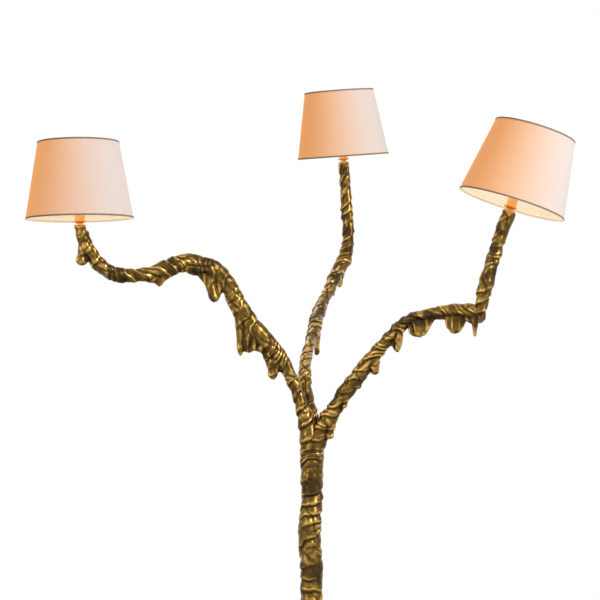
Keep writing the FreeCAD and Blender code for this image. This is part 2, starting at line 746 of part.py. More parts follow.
def make_fittings():
    """Couplers, dowels and grub screws between the castings."""
    outer = size("trunk_bore") / 2 - size("coupler_fit")
    couplers, grubs = [], []
    joints = (("foot_height", (1, -1)), ("trunk_split", (1, -1)), ("fork_height", (1, -1)))
    for name, sides in joints:
        low = Vector(0, 0, size(name) - size("coupler_length") / 2)
        inner = outer - size("coupler_wall")
        length = size("coupler_length")
        couplers.append(rod(outer, low, UP, length).cut(rod(inner, low, UP, length)))
        for side in sides:
            start = Vector(0, outer + size("coupler_fit"), size(name) + side * size("grub_offset"))
            thread = size("grub_diameter") / 2 - size("coupler_fit")
            grubs.append(rod(thread, start, BACKWARDS, size("grub_length")))
    group("trunk_couplers", couplers)
    group("grub_screws", grubs)
    dowels = []
    for root, branch in GROWTH.values():
        direction = joint_direction(root, branch)
        start = centre_of(from_fork(branch[0])) - direction * (size("dowel_length") / 2)
        radius, length = size("dowel_outer") / 2, size("dowel_length")
        passage = rod(size("wire_passage") / 2, start, direction, length)
        dowels.append(rod(radius, start, direction, length).cut(passage))
    group("branch_dowels", dowels)


def drilled(label, outer, inner, low, height, holes, hole_radius, channel=None):
    """A flat ring on the trunk's axis, bound to the sheet, with holes and a channel cut through it."""
    disc = bound("Part::Cylinder", label + "_disc", Radius=outer, Height=height)
    disc.setExpression("Placement.Base.z", worded(low))
    tools = []
    if inner:
        hole = bound("Part::Cylinder", label + "_hole", Radius=inner, Height=height)
        hole.setExpression("Placement.Base.z", worded(low))
        tools.append(hole)
    for i, (x, y) in enumerate(holes):
        drill = bound("Part::Cylinder", f"{label}_drill{i}", Radius=hole_radius, Height=height)
        drill.Placement.Base = Vector(x, y, 0)
        drill.setExpression("Placement.Base.z", worded(low))
        tools.append(drill)
    if channel is not None:
        tools.append(channel)
    tool = DOC.addObject("Part::MultiFuse", label + "_tools")
    tool.Shapes = tools
    cut = DOC.addObject("Part::Cut", label)
    cut.Base, cut.Tool = disc, tool
    NODES.append(cut)
    return cut


def make_underside():
    """Ballast, closing plate and its screws, rubber sheet, inlet bush and terminal block."""
    holes = circle_points(size("plate_screw_circle"), size("plate_screw_count"), 45)
    clear = "plate_screw_radius + screw_clearance"
    channel = bound(
        "Part::Box",
        "ballast_channel",
        Length="bush_outer",
        Width="pocket_radius",
        Height="ballast_thickness",
    )
    channel.setExpression("Placement.Base.x", worded("-bush_outer / 2"))
    channel.setExpression("Placement.Base.z", worded("pad_height + plate_thickness"))
    edge = "pocket_radius - plate_gap"
    over_plate, heads = "pad_height + plate_thickness", "2 * plate_screw_radius + 2 * screw_clearance"
    drilled("ballast_ring", edge, "ballast_hole", over_plate, "ballast_thickness", holes, clear, channel)
    drilled("base_plate", edge, None, "pad_height", "plate_thickness", holes, clear)
    drilled("floor_pad", "pad_edge", None, "0", "pad_height", holes, heads)
    shank = size("pocket_depth") + size("plate_screw_grip")
    screws = []
    for x, y in holes:
        start = Vector(x, y, size("pad_height"))
        head = rod(2 * size("plate_screw_radius"), start, UP * -1, size("plate_thickness"))
        thread = rod(size("plate_screw_radius") - size("coupler_fit"), start, UP, shank)
        screws.append(head.fuse(thread))
    group("plate_screws", screws)
    corners = [
        ("bush_bore / 2", "0"),
        ("bush_outer / 2 - coupler_fit", "0"),
        ("bush_outer / 2 - coupler_fit", "bush_length"),
        ("bush_flange / 2", "bush_length"),
        ("bush_flange / 2", "bush_length + bush_flange_depth"),
        ("bush_bore / 2", "bush_length + bush_flange_depth"),
    ]
    seat = Vector(0, size("bush_seat") - size("bush_length"), size("bush_height"))
    turned("inlet_bush", corners, Placement(seat, Rotation(UP, BACKWARDS)))
    make_block()


def make_block():
    """The terminal block that stands on the base plate and joins the three lamp wires."""
    sides = {"Length": "block_width", "Width": "block_depth", "Height": "block_height"}
    block = bound("Part::Box", "block_body", **sides)
    block.setExpression("Placement.Base.x", worded("-block_width / 2"))
    block.setExpression("Placement.Base.y", worded("block_front"))
    block.setExpression("Placement.Base.z", worded("pad_height + plate_thickness"))
    wells = []
    for lamp in LAMPS:
        name = f"block_well_{lamp}"
        well = bound("Part::Cylinder", name, Radius="wire_diameter / 3", Height="block_height / 2")
        well.setExpression("Placement.Base.x", worded(f"block_pitch * {WIRE_WAYS[lamp]}"))
        well.setExpression("Placement.Base.y", worded("block_front + block_depth / 2"))
        well.setExpression("Placement.Base.z", worded("pad_height + plate_thickness + block_height / 2"))
        wells.append(well)
    tool = DOC.addObject("Part::MultiFuse", "block_wells")
    tool.Shapes = wells
    cut = DOC.addObject("Part::Cut", "terminal_block")
    cut.Base, cut.Tool = block, tool
    NODES.append(cut)


# One lamp. Heights are counted from the branch's tip along the candle.

def shade_radius(height):
    """The expression for the shade's outside radius at a height over its lower edge."""
    return f"shade_lower + (shade_upper - shade_lower) * ({height}) / shade_height"


def make_collars():
    """Brass collars on the three tips, and the threaded tubes that carry the lampholders."""
    collars, nipples = [], []
    for lamp in LAMPS:
        tip, axis = centre_of(from_fork(TIPS[lamp])), lamp_axis(lamp)
        outer = size("nipple_outer") / 2
        collar = rod(size("collar_radius"), tip, axis, size("collar_height"))
        collars.append(collar.cut(rod(outer, tip, axis, size("collar_height"))))
        low, length = tip - axis * size("nipple_depth"), size("nipple_depth") + size("nipple_reach")
        outside = rod(outer - size("coupler_fit"), low, axis, length)
        nipples.append(outside.cut(rod(size("nipple_bore") / 2, low, axis, length)))
    group("tip_collars", collars)
    group("nipples", nipples)


def make_drip_pan(lamp):
    """A turned brass pan on a narrow neck. The candle sleeve stands in its recess."""
    corners = [
        ("nipple_outer / 2", "collar_height"),
        ("neck_radius", "collar_height"),
        ("neck_radius", "collar_height + neck_height - 1"),
        ("neck_radius + 4", "collar_height + neck_height"),
        ("pan_radius", "collar_height + neck_height + pan_height - 2.2"),
        ("pan_radius", "collar_height + neck_height + pan_height - 0.8"),
        ("pan_radius - 0.8", "pan_top"),
        ("sleeve_outer / 2 + coupler_fit", "pan_top"),
        ("sleeve_outer / 2 + coupler_fit", "sleeve_low"),
        ("nipple_outer / 2", "sleeve_low"),
    ]
    turned(f"drip_pan_{lamp}", corners, lamp_place(lamp))


def make_sleeve(lamp):
    """The candle sleeve, a thin tube from the pan to the lampholder's flange."""
    tools = []
    for name, radius in (("wall", "sleeve_outer / 2"), ("hollow", "sleeve_outer / 2 - sleeve_wall")):
        cylinder = bound("Part::Cylinder", f"sleeve_{name}_{lamp}", Radius=radius, Height="sleeve_height")
        cylinder.setExpression("Placement.Base.z", worded("sleeve_low"))
        tools.append(cylinder)
    sleeve = DOC.addObject("Part::Cut", f"candle_sleeve_{lamp}")
    sleeve.Base, sleeve.Tool = tools
    sleeve.Placement = lamp_place(lamp)
    NODES.append(sleeve)


def make_lampholder(lamp):
    """The lampholder: a body in the sleeve, a flange on top of it, and a threaded skirt for the retaining ring."""
    body_low = "flange_low - holder_drop"
    corners = [
        ("nipple_outer / 2", body_low),
        ("holder_radius", body_low),
        ("holder_radius", "flange_low"),
        ("flange_radius", "flange_low"),
        ("flange_radius", "flange_top"),
        ("skirt_radius", "flange_top"),
        ("skirt_radius", "skirt_top"),
        ("socket_radius", "skirt_top"),
        ("socket_radius", "socket_floor"),
        ("nipple_outer / 2", "socket_floor"),
    ]
    turned(f"lampholder_{lamp}", corners, lamp_place(lamp))
    shell = [
        ("cap_radius + cap_fit", "contact_top"),
        ("socket_radius - coupler_fit", "contact_top"),
        ("socket_radius - coupler_fit", "contact_top + shell_height"),
        ("cap_radius + cap_fit", "contact_top + shell_height"),
    ]
    centre = [
        ("0", "socket_floor"),
        ("nipple_outer / 2 + 2.5", "socket_floor"),
        ("nipple_outer / 2 + 2.5", "socket_floor + 1.2"),
        ("contact_radius", "socket_floor + 1.2"),
        ("contact_radius", "contact_top"),
        ("0", "contact_top"),
    ]
    shell_body = turned(f"holder_shell_{lamp}", shell, node=False)
    contact_body = turned(f"holder_contact_{lamp}", centre, node=False)
    pair = DOC.addObject("Part::Compound", f"holder_contacts_{lamp}")
    pair.Links = [shell_body, contact_body]
    pair.Placement = lamp_place(lamp)
    NODES.append(pair)


def make_retaining_ring(lamp):
    """The threaded ring that clamps the shade's centre plate on the flange, with a stepped grip."""
    corners = [
        ("skirt_radius + ring_fit", "ring_low"),
        ("ring_outer", "ring_low"),
        ("ring_outer", "ring_low + ring_height / 2"),
        ("ring_outer - 2", "ring_low + ring_height / 2"),
        ("ring_outer - 2", "ring_top"),
        ("skirt_radius + ring_fit", "ring_top"),
    ]
    turned(f"retaining_ring_{lamp}", corners, lamp_place(lamp))


def bulb_profile(grow):
    """The glass's outline as points (radius, height over its lower end), moved in by grow."""
    length, belly = size("bulb_length"), size("bulb_radius")
    neck = size("cap_skirt") - size("cap_wall") - size("coupler_fit")
    # (share of the length, share of the way from neck to belly)
    outline_shares = [(0, 0), (0.1, 0.02), (0.22, 0.42), (0.36, 0.86), (0.48, 1.0), (0.6, 0.9)]
    outline_shares += [(0.74, 0.42)]
    points = [(neck + (belly - neck) * out, length * up) for up, out in outline_shares]
    points += [(0.42 * neck, length * 0.91)]
    return [Vector(r - grow, 0, z) for r, z in points] + [Vector(0, 0, length - grow)]


def make_bulb(lamp):
    """A candle bulb: thin blown glass, filament rods on a stem, and the screw cap."""
    wall, low = size("glass_wall"), size("glass_low")
    outer, inner = Part.BSplineCurve(), Part.BSplineCurve()
    outer.interpolate(bulb_profile(0))
    inner.interpolate(bulb_profile(wall))
    foot = Part.LineSegment(outer.StartPoint, inner.StartPoint)
    tip = Part.LineSegment(outer.EndPoint, inner.EndPoint)
    edges = [edge.toShape() for edge in (outer, inner, foot, tip)]
    face = Part.Face(Part.Wire(Part.sortEdges(edges)[0]))
    glass = face.revolve(Vector(0, 0, 0), UP, 360)
    glass.translate(UP * low)
    feature(f"bulb_glass_{lamp}", glass, lamp_place(lamp))
    stem_top = size("bulb_length") * 0.3
    neck = size("cap_skirt") - size("cap_wall") - size("coupler_fit")
    stem = rod(neck, Vector(0, 0, low - size("stem_disc")), UP, size("stem_disc"))
    mast = rod(0.7, Vector(0, 0, low), UP, stem_top + size("filament_length"))
    rods = []
    for x, y in circle_points(5, 4, 45):
        foot = Vector(x * 0.6, y * 0.6, low + stem_top - 3)
        head = Vector(x, y, low + stem_top + size("filament_length"))
        rods.append(rod(0.9, foot, head - foot, (head - foot).Length))
    spread = rod(5.6, Vector(0, 0, low + stem_top + size("filament_length") - 0.8), UP, 0.8)
    post = rod(3.2, Vector(0, 0, low), UP, stem_top)
    feature(f"bulb_filaments_{lamp}", stem.fuse([post, mast, *rods, spread]), lamp_place(lamp))
    corners = [
        ("0", "cap_low"),
        ("contact_radius", "cap_low"),
        ("contact_radius", "cap_low + 1.2"),
        ("cap_radius - 1.5", "cap_low + 3"),
        ("cap_radius", "cap_low + 5"),
        ("cap_radius", "cap_top - 12"),
        ("cap_skirt", "cap_top - 10"),
        ("cap_skirt", "cap_top"),
        ("cap_skirt - cap_wall", "cap_top"),
        ("cap_skirt - cap_wall", "cap_top - 9.6"),
        ("cap_radius - cap_wall", "cap_top - 11.6"),
        ("cap_radius - cap_wall", "cap_low + 5.4"),
        ("0", "cap_low + 5.4"),
    ]
    turned(f"bulb_cap_{lamp}", corners, lamp_place(lamp))


def make_shade(lamp):
    """The shade: a wire spider with its centre plate, a lower wire, the laminated cover and folded trim tape."""
    place, wire = lamp_place(lamp), size("shade_wire")
    lift, tall = size("shade_lift"), size("shade_height")
    inside_gap = size("trim_thickness") + size("shade_wall") + size("trim_gap") * 3 + wire / 2

    def wire_ring(height):
        radius = value_of(shade_radius(str(height))) - inside_gap
        return radius, Part.makeTorus(radius, wire / 2, Vector(0, 0, lift + height))

    top_radius, top_ring = wire_ring(tall - wire)
    plate_low = size("fitter_low")
    plate = rod(size("fitter_outer"), Vector(0, 0, plate_low), UP, size("fitter_thickness"))
    plate = plate.cut(rod(size("fitter_inner"), Vector(0, 0, plate_low), UP, size("fitter_thickness")))
    arms = []
    for x, y in circle_points(1, size("shade_arms"), 90):
        foot = Vector(x, y, 0) * (size("fitter_outer") - 1) + UP * (plate_low + size("fitter_thickness") / 2)
        head = Vector(x, y, 0) * top_radius + UP * (lift + tall - wire)
        arms.append(rod(wire / 2, foot, head - foot, (head - foot).Length))
    spider = plate.fuse([*arms, top_ring]).cut(rod(size("fitter_inner"), Vector(0, 0, lift), UP, tall / 2))
    feature(f"shade_spider_{lamp}", spider, place)
    feature(f"shade_lower_ring_{lamp}", wire_ring(wire)[1], place)

    cones = []
    for name, inset in (("outer", "0"), ("inner", "shade_wall")):
        cone = bound(
            "Part::Cone",
            f"cover_{name}_{lamp}",
            Radius1=f"shade_lower - {inset}",
            Radius2=f"shade_upper - {inset}",
            Height="shade_height",
        )
        cone.setExpression("Placement.Base.z", worded("shade_lift"))
        cones.append(cone)
    cover = DOC.addObject("Part::Cut", f"shade_cover_{lamp}")
    cover.Base, cover.Tool = cones
    cover.Placement = place
    NODES.append(cover)

    bands = []
    for edge, sign, name in (("0", "-", "lower"), ("shade_height", "+", "upper")):
        fold = f"{edge} {sign} trim_thickness"
        hem = f"{edge} {sign} trim_gap"
        reach = f"{edge} {'+' if sign == '-' else '-'} trim_width"
        corners = [
            (f"{shade_radius(fold)} + trim_gap + trim_thickness", f"shade_lift + {fold}"),
            (f"{shade_radius(reach)} + trim_gap + trim_thickness", f"shade_lift + {reach}"),
            (f"{shade_radius(reach)} + trim_gap", f"shade_lift + {reach}"),
            (f"{shade_radius(hem)} + trim_gap", f"shade_lift + {hem}"),
            (f"{shade_radius(hem)} - shade_wall - trim_gap", f"shade_lift + {hem}"),
            (f"{shade_radius(reach)} - shade_wall - trim_gap", f"shade_lift + {reach}"),
            (f"{shade_radius(reach)} - shade_wall - trim_gap - trim_thickness", f"shade_lift + {reach}"),
            (f"{shade_radius(fold)} - shade_wall - trim_gap - trim_thickness", f"shade_lift + {fold}"),
        ]
        bands.append(turned(f"trim_{name}_{lamp}", corners, node=False))
    trims = DOC.addObject("Part::Compound", f"shade_trims_{lamp}")
    trims.Links = bands
    trims.Placement = place
    NODES.append(trims)


make_foot()
make_trunk()
make_crown()
make_branch("branch_left", "left", LEFT_ROOT, LEFT_BRANCH, LEFT_DRIPS, 18)
make_branch("branch_centre", "centre", CENTRE_ROOT, CENTRE_BRANCH, CENTRE_DRIPS, 0)
make_right_branch()
make_fittings()
make_underside()
group(
    "lamp_wires",
    [
        lamp_wire("left", LEFT_ROOT, LEFT_BRANCH),
        lamp_wire("centre", CENTRE_ROOT, CENTRE_BRANCH),
        lamp_wire("right", RIGHT_ROOT, RIGHT_BRANCH),
    ],
)
make_collars()
for lamp_name in LAMPS:
    make_drip_pan(lamp_name)
    make_sleeve(lamp_name)
    make_lampholder(lamp_name)
    make_retaining_ring(lamp_name)
    make_bulb(lamp_name)
    make_shade(lamp_name)
DOC.recompute()

for item in DOC.Objects:
    if {"Invalid", "Error"} & set(item.State):
        raise ValueError(f"{item.Label} failed: {item.State}")
for node in NODES:
    if node.Shape.isNull() or not node.Shape.isValid():
        raise ValueError(f"{node.Label} has no valid shape")
for node in NODES:
    node.Shape.exportStep(f"parts/{node.Label}.step")
print(len(NODES), "nodes")
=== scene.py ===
"""Looks of the tree floor lamp: wrapped bronze castings, shades and a finish for every other piece.

Shapes are worked out in millimetres in the part's own frame and turned into metres when a mesh is made.
"""

import logging
import math
from collections.abc import Callable, Sequence
from dataclasses import dataclass, field
from enum import Enum
from functools import reduce

import bmesh
import bpy
import numpy as np
from mathutils import Matrix, Quaternion, Vector


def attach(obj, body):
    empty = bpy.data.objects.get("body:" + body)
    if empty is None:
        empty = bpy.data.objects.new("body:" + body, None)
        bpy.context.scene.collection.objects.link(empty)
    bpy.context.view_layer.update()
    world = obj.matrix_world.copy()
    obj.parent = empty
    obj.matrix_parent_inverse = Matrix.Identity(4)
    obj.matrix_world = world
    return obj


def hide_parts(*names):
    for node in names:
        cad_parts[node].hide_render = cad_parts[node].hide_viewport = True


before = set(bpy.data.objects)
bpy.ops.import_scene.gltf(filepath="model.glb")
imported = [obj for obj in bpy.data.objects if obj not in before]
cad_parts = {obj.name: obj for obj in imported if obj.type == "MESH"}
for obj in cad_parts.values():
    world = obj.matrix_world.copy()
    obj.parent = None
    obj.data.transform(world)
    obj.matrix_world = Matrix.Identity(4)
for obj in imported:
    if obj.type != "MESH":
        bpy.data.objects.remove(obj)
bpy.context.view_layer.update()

LOG = logging.getLogger("tree_lamp")
MM = 0.001
Row = tuple[float, ...]
Colour = tuple[float, float, float]
NodeValue = object
Flow = tuple[np.ndarray, np.ndarray, np.ndarray]
Material, Piece, Tree = bpy.types.Material, bpy.types.Object, bpy.types.NodeTree
Socket, Sockets = bpy.types.NodeSocket, bpy.types.bpy_prop_collection

# Stations (x, y, z, wide, deep) as in the part's source. The trunk's are counted from the floor, the
# others from the fork.
FORK_HEIGHT = 840.0
FORK: Row = (2, 0, 0, 59, 58)
UPPER_TRUNK: list[Row] = [
    (0, 0, 450, 57, 57), (2, 0, 530, 58, 56), (-2, 1, 600, 60, 57), (-2, 0, 655, 58, 58),
    (1, -1, 710, 55, 56), (2, 0, 770, 57, 56), (2, 0, 840, 59, 58),
]
LOWER_TRUNK: list[Row] = [
    (0, 0, 112, 57, 57), (1, 1, 170, 60, 60), (-2, -1, 235, 55, 57), (1, 0, 305, 59, 56),
    (-1, 1, 380, 56, 58), (0, 0, 450, 57, 57),
]
LEFT_ROOT: list[Row] = [(-6, -1, 52, 52, 52), (-21, -3, 110, 38, 38)]
LEFT_BRANCH: list[Row] = [
    (-49, -11, 190, 34, 34), (-70, -18, 231, 39, 37), (-98, -28, 267, 44, 38),
    (-133, -39, 305, 50, 40), (-163, -49, 341, 49, 38), (-190, -57, 390, 45, 38),
    (-214, -66, 435, 43, 37), (-246, -77, 468, 45, 38), (-288, -91, 482, 47, 38),
    (-330, -106, 483, 44, 38), (-371, -120, 468, 39, 37), (-408, -133, 457, 33, 33),
    (-446, -146, 452, 36, 35), (-487, -160, 455, 38, 36), (-520, -172, 474, 35, 34),
    (-543, -181, 503, 31, 31), (-559, -187, 535, 31, 31),
]
LEFT_TIP: Row = (-570, -190, 573, 30, 30)
CENTRE_ROOT: list[Row] = [(6, 8, 52, 50, 50), (-4, 22, 112, 36, 36)]
CENTRE_BRANCH: list[Row] = [
    (-15, 62, 187, 32, 33), (-14, 104, 226, 30, 32), (-4, 160, 268, 29, 31), (9, 225, 309, 33, 33),
    (20, 294, 351, 38, 36), (36, 360, 394, 32, 33), (60, 420, 438, 36, 35), (81, 472, 484, 37, 36),
    (103, 508, 525, 42, 38), (112, 523, 571, 34, 34), (111, 527, 625, 35, 34),
    (107, 524, 685, 34, 34), (103, 518, 735, 32, 32),
]
CENTRE_TIP: Row = (99, 509, 803, 31, 31)
RIGHT_ROOT: list[Row] = [(16, -3, 40, 54, 50), (36, -11, 76, 46, 44)]
RIGHT_BRANCH: list[Row] = [
    (59, -24, 111, 41, 38), (89, -41, 158, 41, 37), (112, -55, 189, 40, 36),
    (134, -68, 219, 38, 35), (156, -81, 248, 36, 34), (178, -95, 276, 34, 33),
    (203, -110, 306, 31, 31), (228, -125, 331, 28, 30), (255, -142, 347, 27, 29),
    (286, -161, 355, 27, 29), (319, -182, 362, 28, 30), (351, -203, 366, 31, 31),
    (377, -219, 365, 35, 32), (399, -234, 362, 33, 31),
]
RIGHT_END: Row = (408, -239, 361, 27, 25)
RISER: list[Row] = [
    (407, -240, 334, 18, 16), (409, -240, 352, 27, 25), (412, -240, 378, 31, 30),
    (423, -240, 425, 37, 35), (435, -240, 470, 33, 33), (446, -240, 503, 36, 34),
    (458, -240, 544, 32, 32), (469, -240, 577, 34, 33),
]
RIGHT_TIP: Row = (480, -240, 605, 34, 34)

# Frozen drips (x, y, z of the root, x and z of the end, wide at the root, wide at the end, deep),
# from the fork.
LEFT_DRIPS: list[Row] = [
    (-560, -186, 560, -566, 474, 30, 32, 28), (-371, -120, 458, -381, 426, 26, 10, 20),
    (-264, -83, 470, -244, 387, 40, 30, 22), (-186, -56, 375, -180, 250, 26, 18, 20),
    (-150, -44, 312, -158, 257, 30, 18, 18), (-106, -30, 268, -98, 188, 34, 24, 21),
]
CENTRE_DRIPS: list[Row] = [
    (114, 526, 628, 132, 598, 18, 7, 14), (96, 488, 505, 86, 437, 22, 17, 18),
    (66, 425, 448, 62, 408, 28, 19, 20), (10, 296, 362, -3, 336, 24, 10, 18),
    (20, 236, 312, 17, 245, 20, 17, 18),
]
RIGHT_DRIPS: list[Row] = [
    (94, -43, 162, 82, 114, 34, 19, 24), (122, -62, 202, 116, 166, 36, 21, 24),
    (161, -84, 252, 161, 202, 36, 23, 24), (224, -122, 330, 214, 258, 36, 15, 18),
    (270, -151, 352, 266, 299, 50, 38, 16), (351, -203, 365, 352, 308, 48, 36, 16),
    (396, -232, 360, 397, 299, 26, 11, 15),
]
CROWN_DRIPS: list[Row] = [(50, -19, 84, 46, 34, 34, 24, 24)]

# Curtains of metal that hang between a limb and its drips (x, y, z at the limb, z at the lower edge),
# from the fork.
ARCH_CURTAIN: list[Row] = [
    (-322, -103, 478, 464), (-300, -95, 482, 454), (-286, -90, 482, 450), (-273, -86, 480, 435),
    (-263, -83, 478, 412), (-256, -80, 474, 391), (-246, -77, 470, 384), (-236, -74, 462, 391),
    (-229, -71, 455, 403), (-224, -69, 450, 414), (-211, -65, 430, 415), (-204, -62, 415, 396),
]
LOBE_CURTAIN: list[Row] = [
    (-428, -139, 456, 441), (-415, -135, 457, 438), (-403, -131, 458, 436), (-390, -127, 462, 433),
    (-381, -123, 466, 422), (-374, -121, 468, 427), (-366, -118, 470, 440), (-353, -114, 474, 448),
    (-338, -108, 480, 456),
]
SLOPE_CURTAIN: list[Row] = [
    (-208, -64, 425, 398), (-199, -61, 405, 356), (-191, -58, 390, 329), (-187, -57, 382, 295),
    (-184, -56, 376, 262), (-179, -54, 368, 252), (-171, -52, 355, 260), (-161, -48, 340, 257),
    (-151, -45, 328, 262), (-138, -41, 312, 262), (-123, -36, 295, 247), (-115, -33, 286, 224),
    (-107, -31, 278, 198), (-98, -28, 267, 187), (-88, -25, 252, 195), (-80, -22, 242, 208),
    (-72, -19, 232, 198), (-62, -16, 215, 182), (-52, -12, 197, 170),
]
RIDGE_CURTAIN: list[Row] = [
    (164, -87, 258, 230), (183, -98, 282, 261), (200, -108, 302, 277), (207, -112, 310, 264),
    (215, -117, 318, 258), (222, -121, 325, 270), (229, -126, 331, 299), (239, -132, 337, 326),
    (244, -135, 340, 308), (251, -140, 345, 300), (261, -146, 349, 297), (272, -153, 352, 298),
    (282, -159, 354, 304), (290, -164, 355, 316), (299, -170, 358, 336), (312, -178, 360, 344),
    (327, -188, 362, 341), (333, -192, 363, 320), (341, -197, 365, 309), (351, -203, 366, 306),
    (361, -210, 366, 309), (369, -215, 365, 319), (377, -220, 364, 338), (390, -228, 363, 330),
    (396, -232, 362, 304), (404, -236, 360, 325),
]

# The ridges on the foot (bearing in degrees, reach).
FOOT_ROOTS: list[Row] = [(20, 168), (92, 150), (158, 172), (215, 160), (268, 174), (322, 162)]


class Lamp(Enum):
    """The three lamps, by the branch that carries them."""

    LEFT = "left"
    CENTRE = "centre"
    RIGHT = "right"


TIPS: dict[Lamp, Row] = {Lamp.LEFT: LEFT_TIP, Lamp.CENTRE: CENTRE_TIP, Lamp.RIGHT: RIGHT_TIP}
# How far each candle leans to the right and to the front, in degrees.
LEANS: dict[Lamp, Row] = {Lamp.LEFT: (-1.2, 0), Lamp.CENTRE: (-4.1, 6), Lamp.RIGHT: (18, 0)}


def lamp_axis(lamp: Lamp) -> Vector:
    """The direction in which a candle points."""
    side, front = (math.radians(angle) for angle in LEANS[lamp])
    return Vector((math.tan(side), -math.tan(front), 1)).normalized()


def lamp_place(lamp: Lamp) -> Matrix:
    """The place of a lamp's own pieces, in millimetres: origin on the branch's tip, Z along the candle.

    Args:
        lamp: The lamp.

    Returns:
        The matrix from the lamp's own frame to the part's.
    """
    x, y, z = TIPS[lamp][:3]
    turn: Quaternion = Vector((0, 0, 1)).rotation_difference(lamp_axis(lamp))
    return Matrix.Translation((x, y, z + FORK_HEIGHT)) @ turn.to_matrix().to_4x4()


# Meshes.


def skin(rings: np.ndarray, first: int = 0, caps: bool = True) -> tuple[list, list]:
    """Quads through a stack of rings of points.

    Args:
        rings: Points, as (rings, points in a ring, 3).
        first: Number of the first point, when the mesh already has points.
        caps: Whether both ends are closed by a fan.

    Returns:
        The points and the faces.
    """
    count, around = rings.shape[:2]
    points = rings.reshape(-1, 3).tolist()
    faces = []
    for i in range(count - 1):
        a, b = first + i * around, first + (i + 1) * around
        for j in range(around):
            k = (j + 1) % around
            faces.append((a + j, a + k, b + k, b + j))
    if caps:
        last = first + (count - 1) * around
        for ring, start, flip in ((rings[0], first, True), (rings[-1], last, False)):
            points.append(ring.mean(axis=0).tolist())
            hub = first + len(points) - 1
            for j in range(around):
                k = (j + 1) % around
                faces.append((hub, start + k, start + j) if flip else (hub, start + j, start + k))
    return points, faces


def mesh_piece(name: str, points: Sequence, faces: Sequence) -> Piece:
    """A new piece from points in millimetres.

    Args:
        name: The piece's name.
        points: Its points.
        faces: The numbers of each face's points.

    Returns:
        The piece.
    """
    mesh = bpy.data.meshes.new(name)
    mesh.from_pydata((np.asarray(points, float) * MM).tolist(), [], faces)
    mesh.update()
    piece = bpy.data.objects.new(name, mesh)
    bpy.context.scene.collection.objects.link(piece)
    return piece


def outwards(piece: Piece) -> None:
    """Turns the faces of a closed mesh outwards.

    Args:
        piece: The piece with that mesh.
    """
    work = bmesh.new()
    work.from_mesh(piece.data)
    bmesh.ops.recalc_face_normals(work, faces=work.faces)
    work.to_mesh(piece.data)
    work.free()


def settle(piece: Piece) -> None:
    """Turns the piece's modifiers into its plain mesh.

    Args:
        piece: The piece.
    """
    graph = bpy.context.evaluated_depsgraph_get()
    shown = piece.evaluated_get(graph)
    mesh = bpy.data.meshes.new_from_object(shown, preserve_all_data_layers=True, depsgraph=graph)
    piece.modifiers.clear()
    old, piece.data = piece.data, mesh
    bpy.data.meshes.remove(old)
    mesh.name = piece.name


def smooth_faces(piece: Piece) -> None:
    """Shades the piece smoothly."""
    piece.data.polygons.foreach_set("use_smooth", [True] * len(piece.data.polygons))


def store(piece: Piece, name: str, values: np.ndarray) -> None:
    """Keeps one number for each point of the piece."""
    layer = piece.data.attributes.new(name, "FLOAT", "POINT")
    layer.data.foreach_set("value", values.astype(np.float32))


def points_of(piece: Piece) -> np.ndarray:
    """The piece's points in millimetres.

    Args:
        piece: The piece.

    Returns:
        The points, as (points, 3).
    """
    flat = np.zeros(len(piece.data.vertices) * 3, np.float32)
    piece.data.vertices.foreach_get("co", flat)
    return flat.reshape(-1, 3).astype(float) / MM


def put_points(piece: Piece, points: np.ndarray) -> None:
    """Moves the piece's points to places in millimetres."""
    piece.data.vertices.foreach_set("co", (points * MM).astype(np.float32).ravel())
    piece.data.update()


# Node trees.


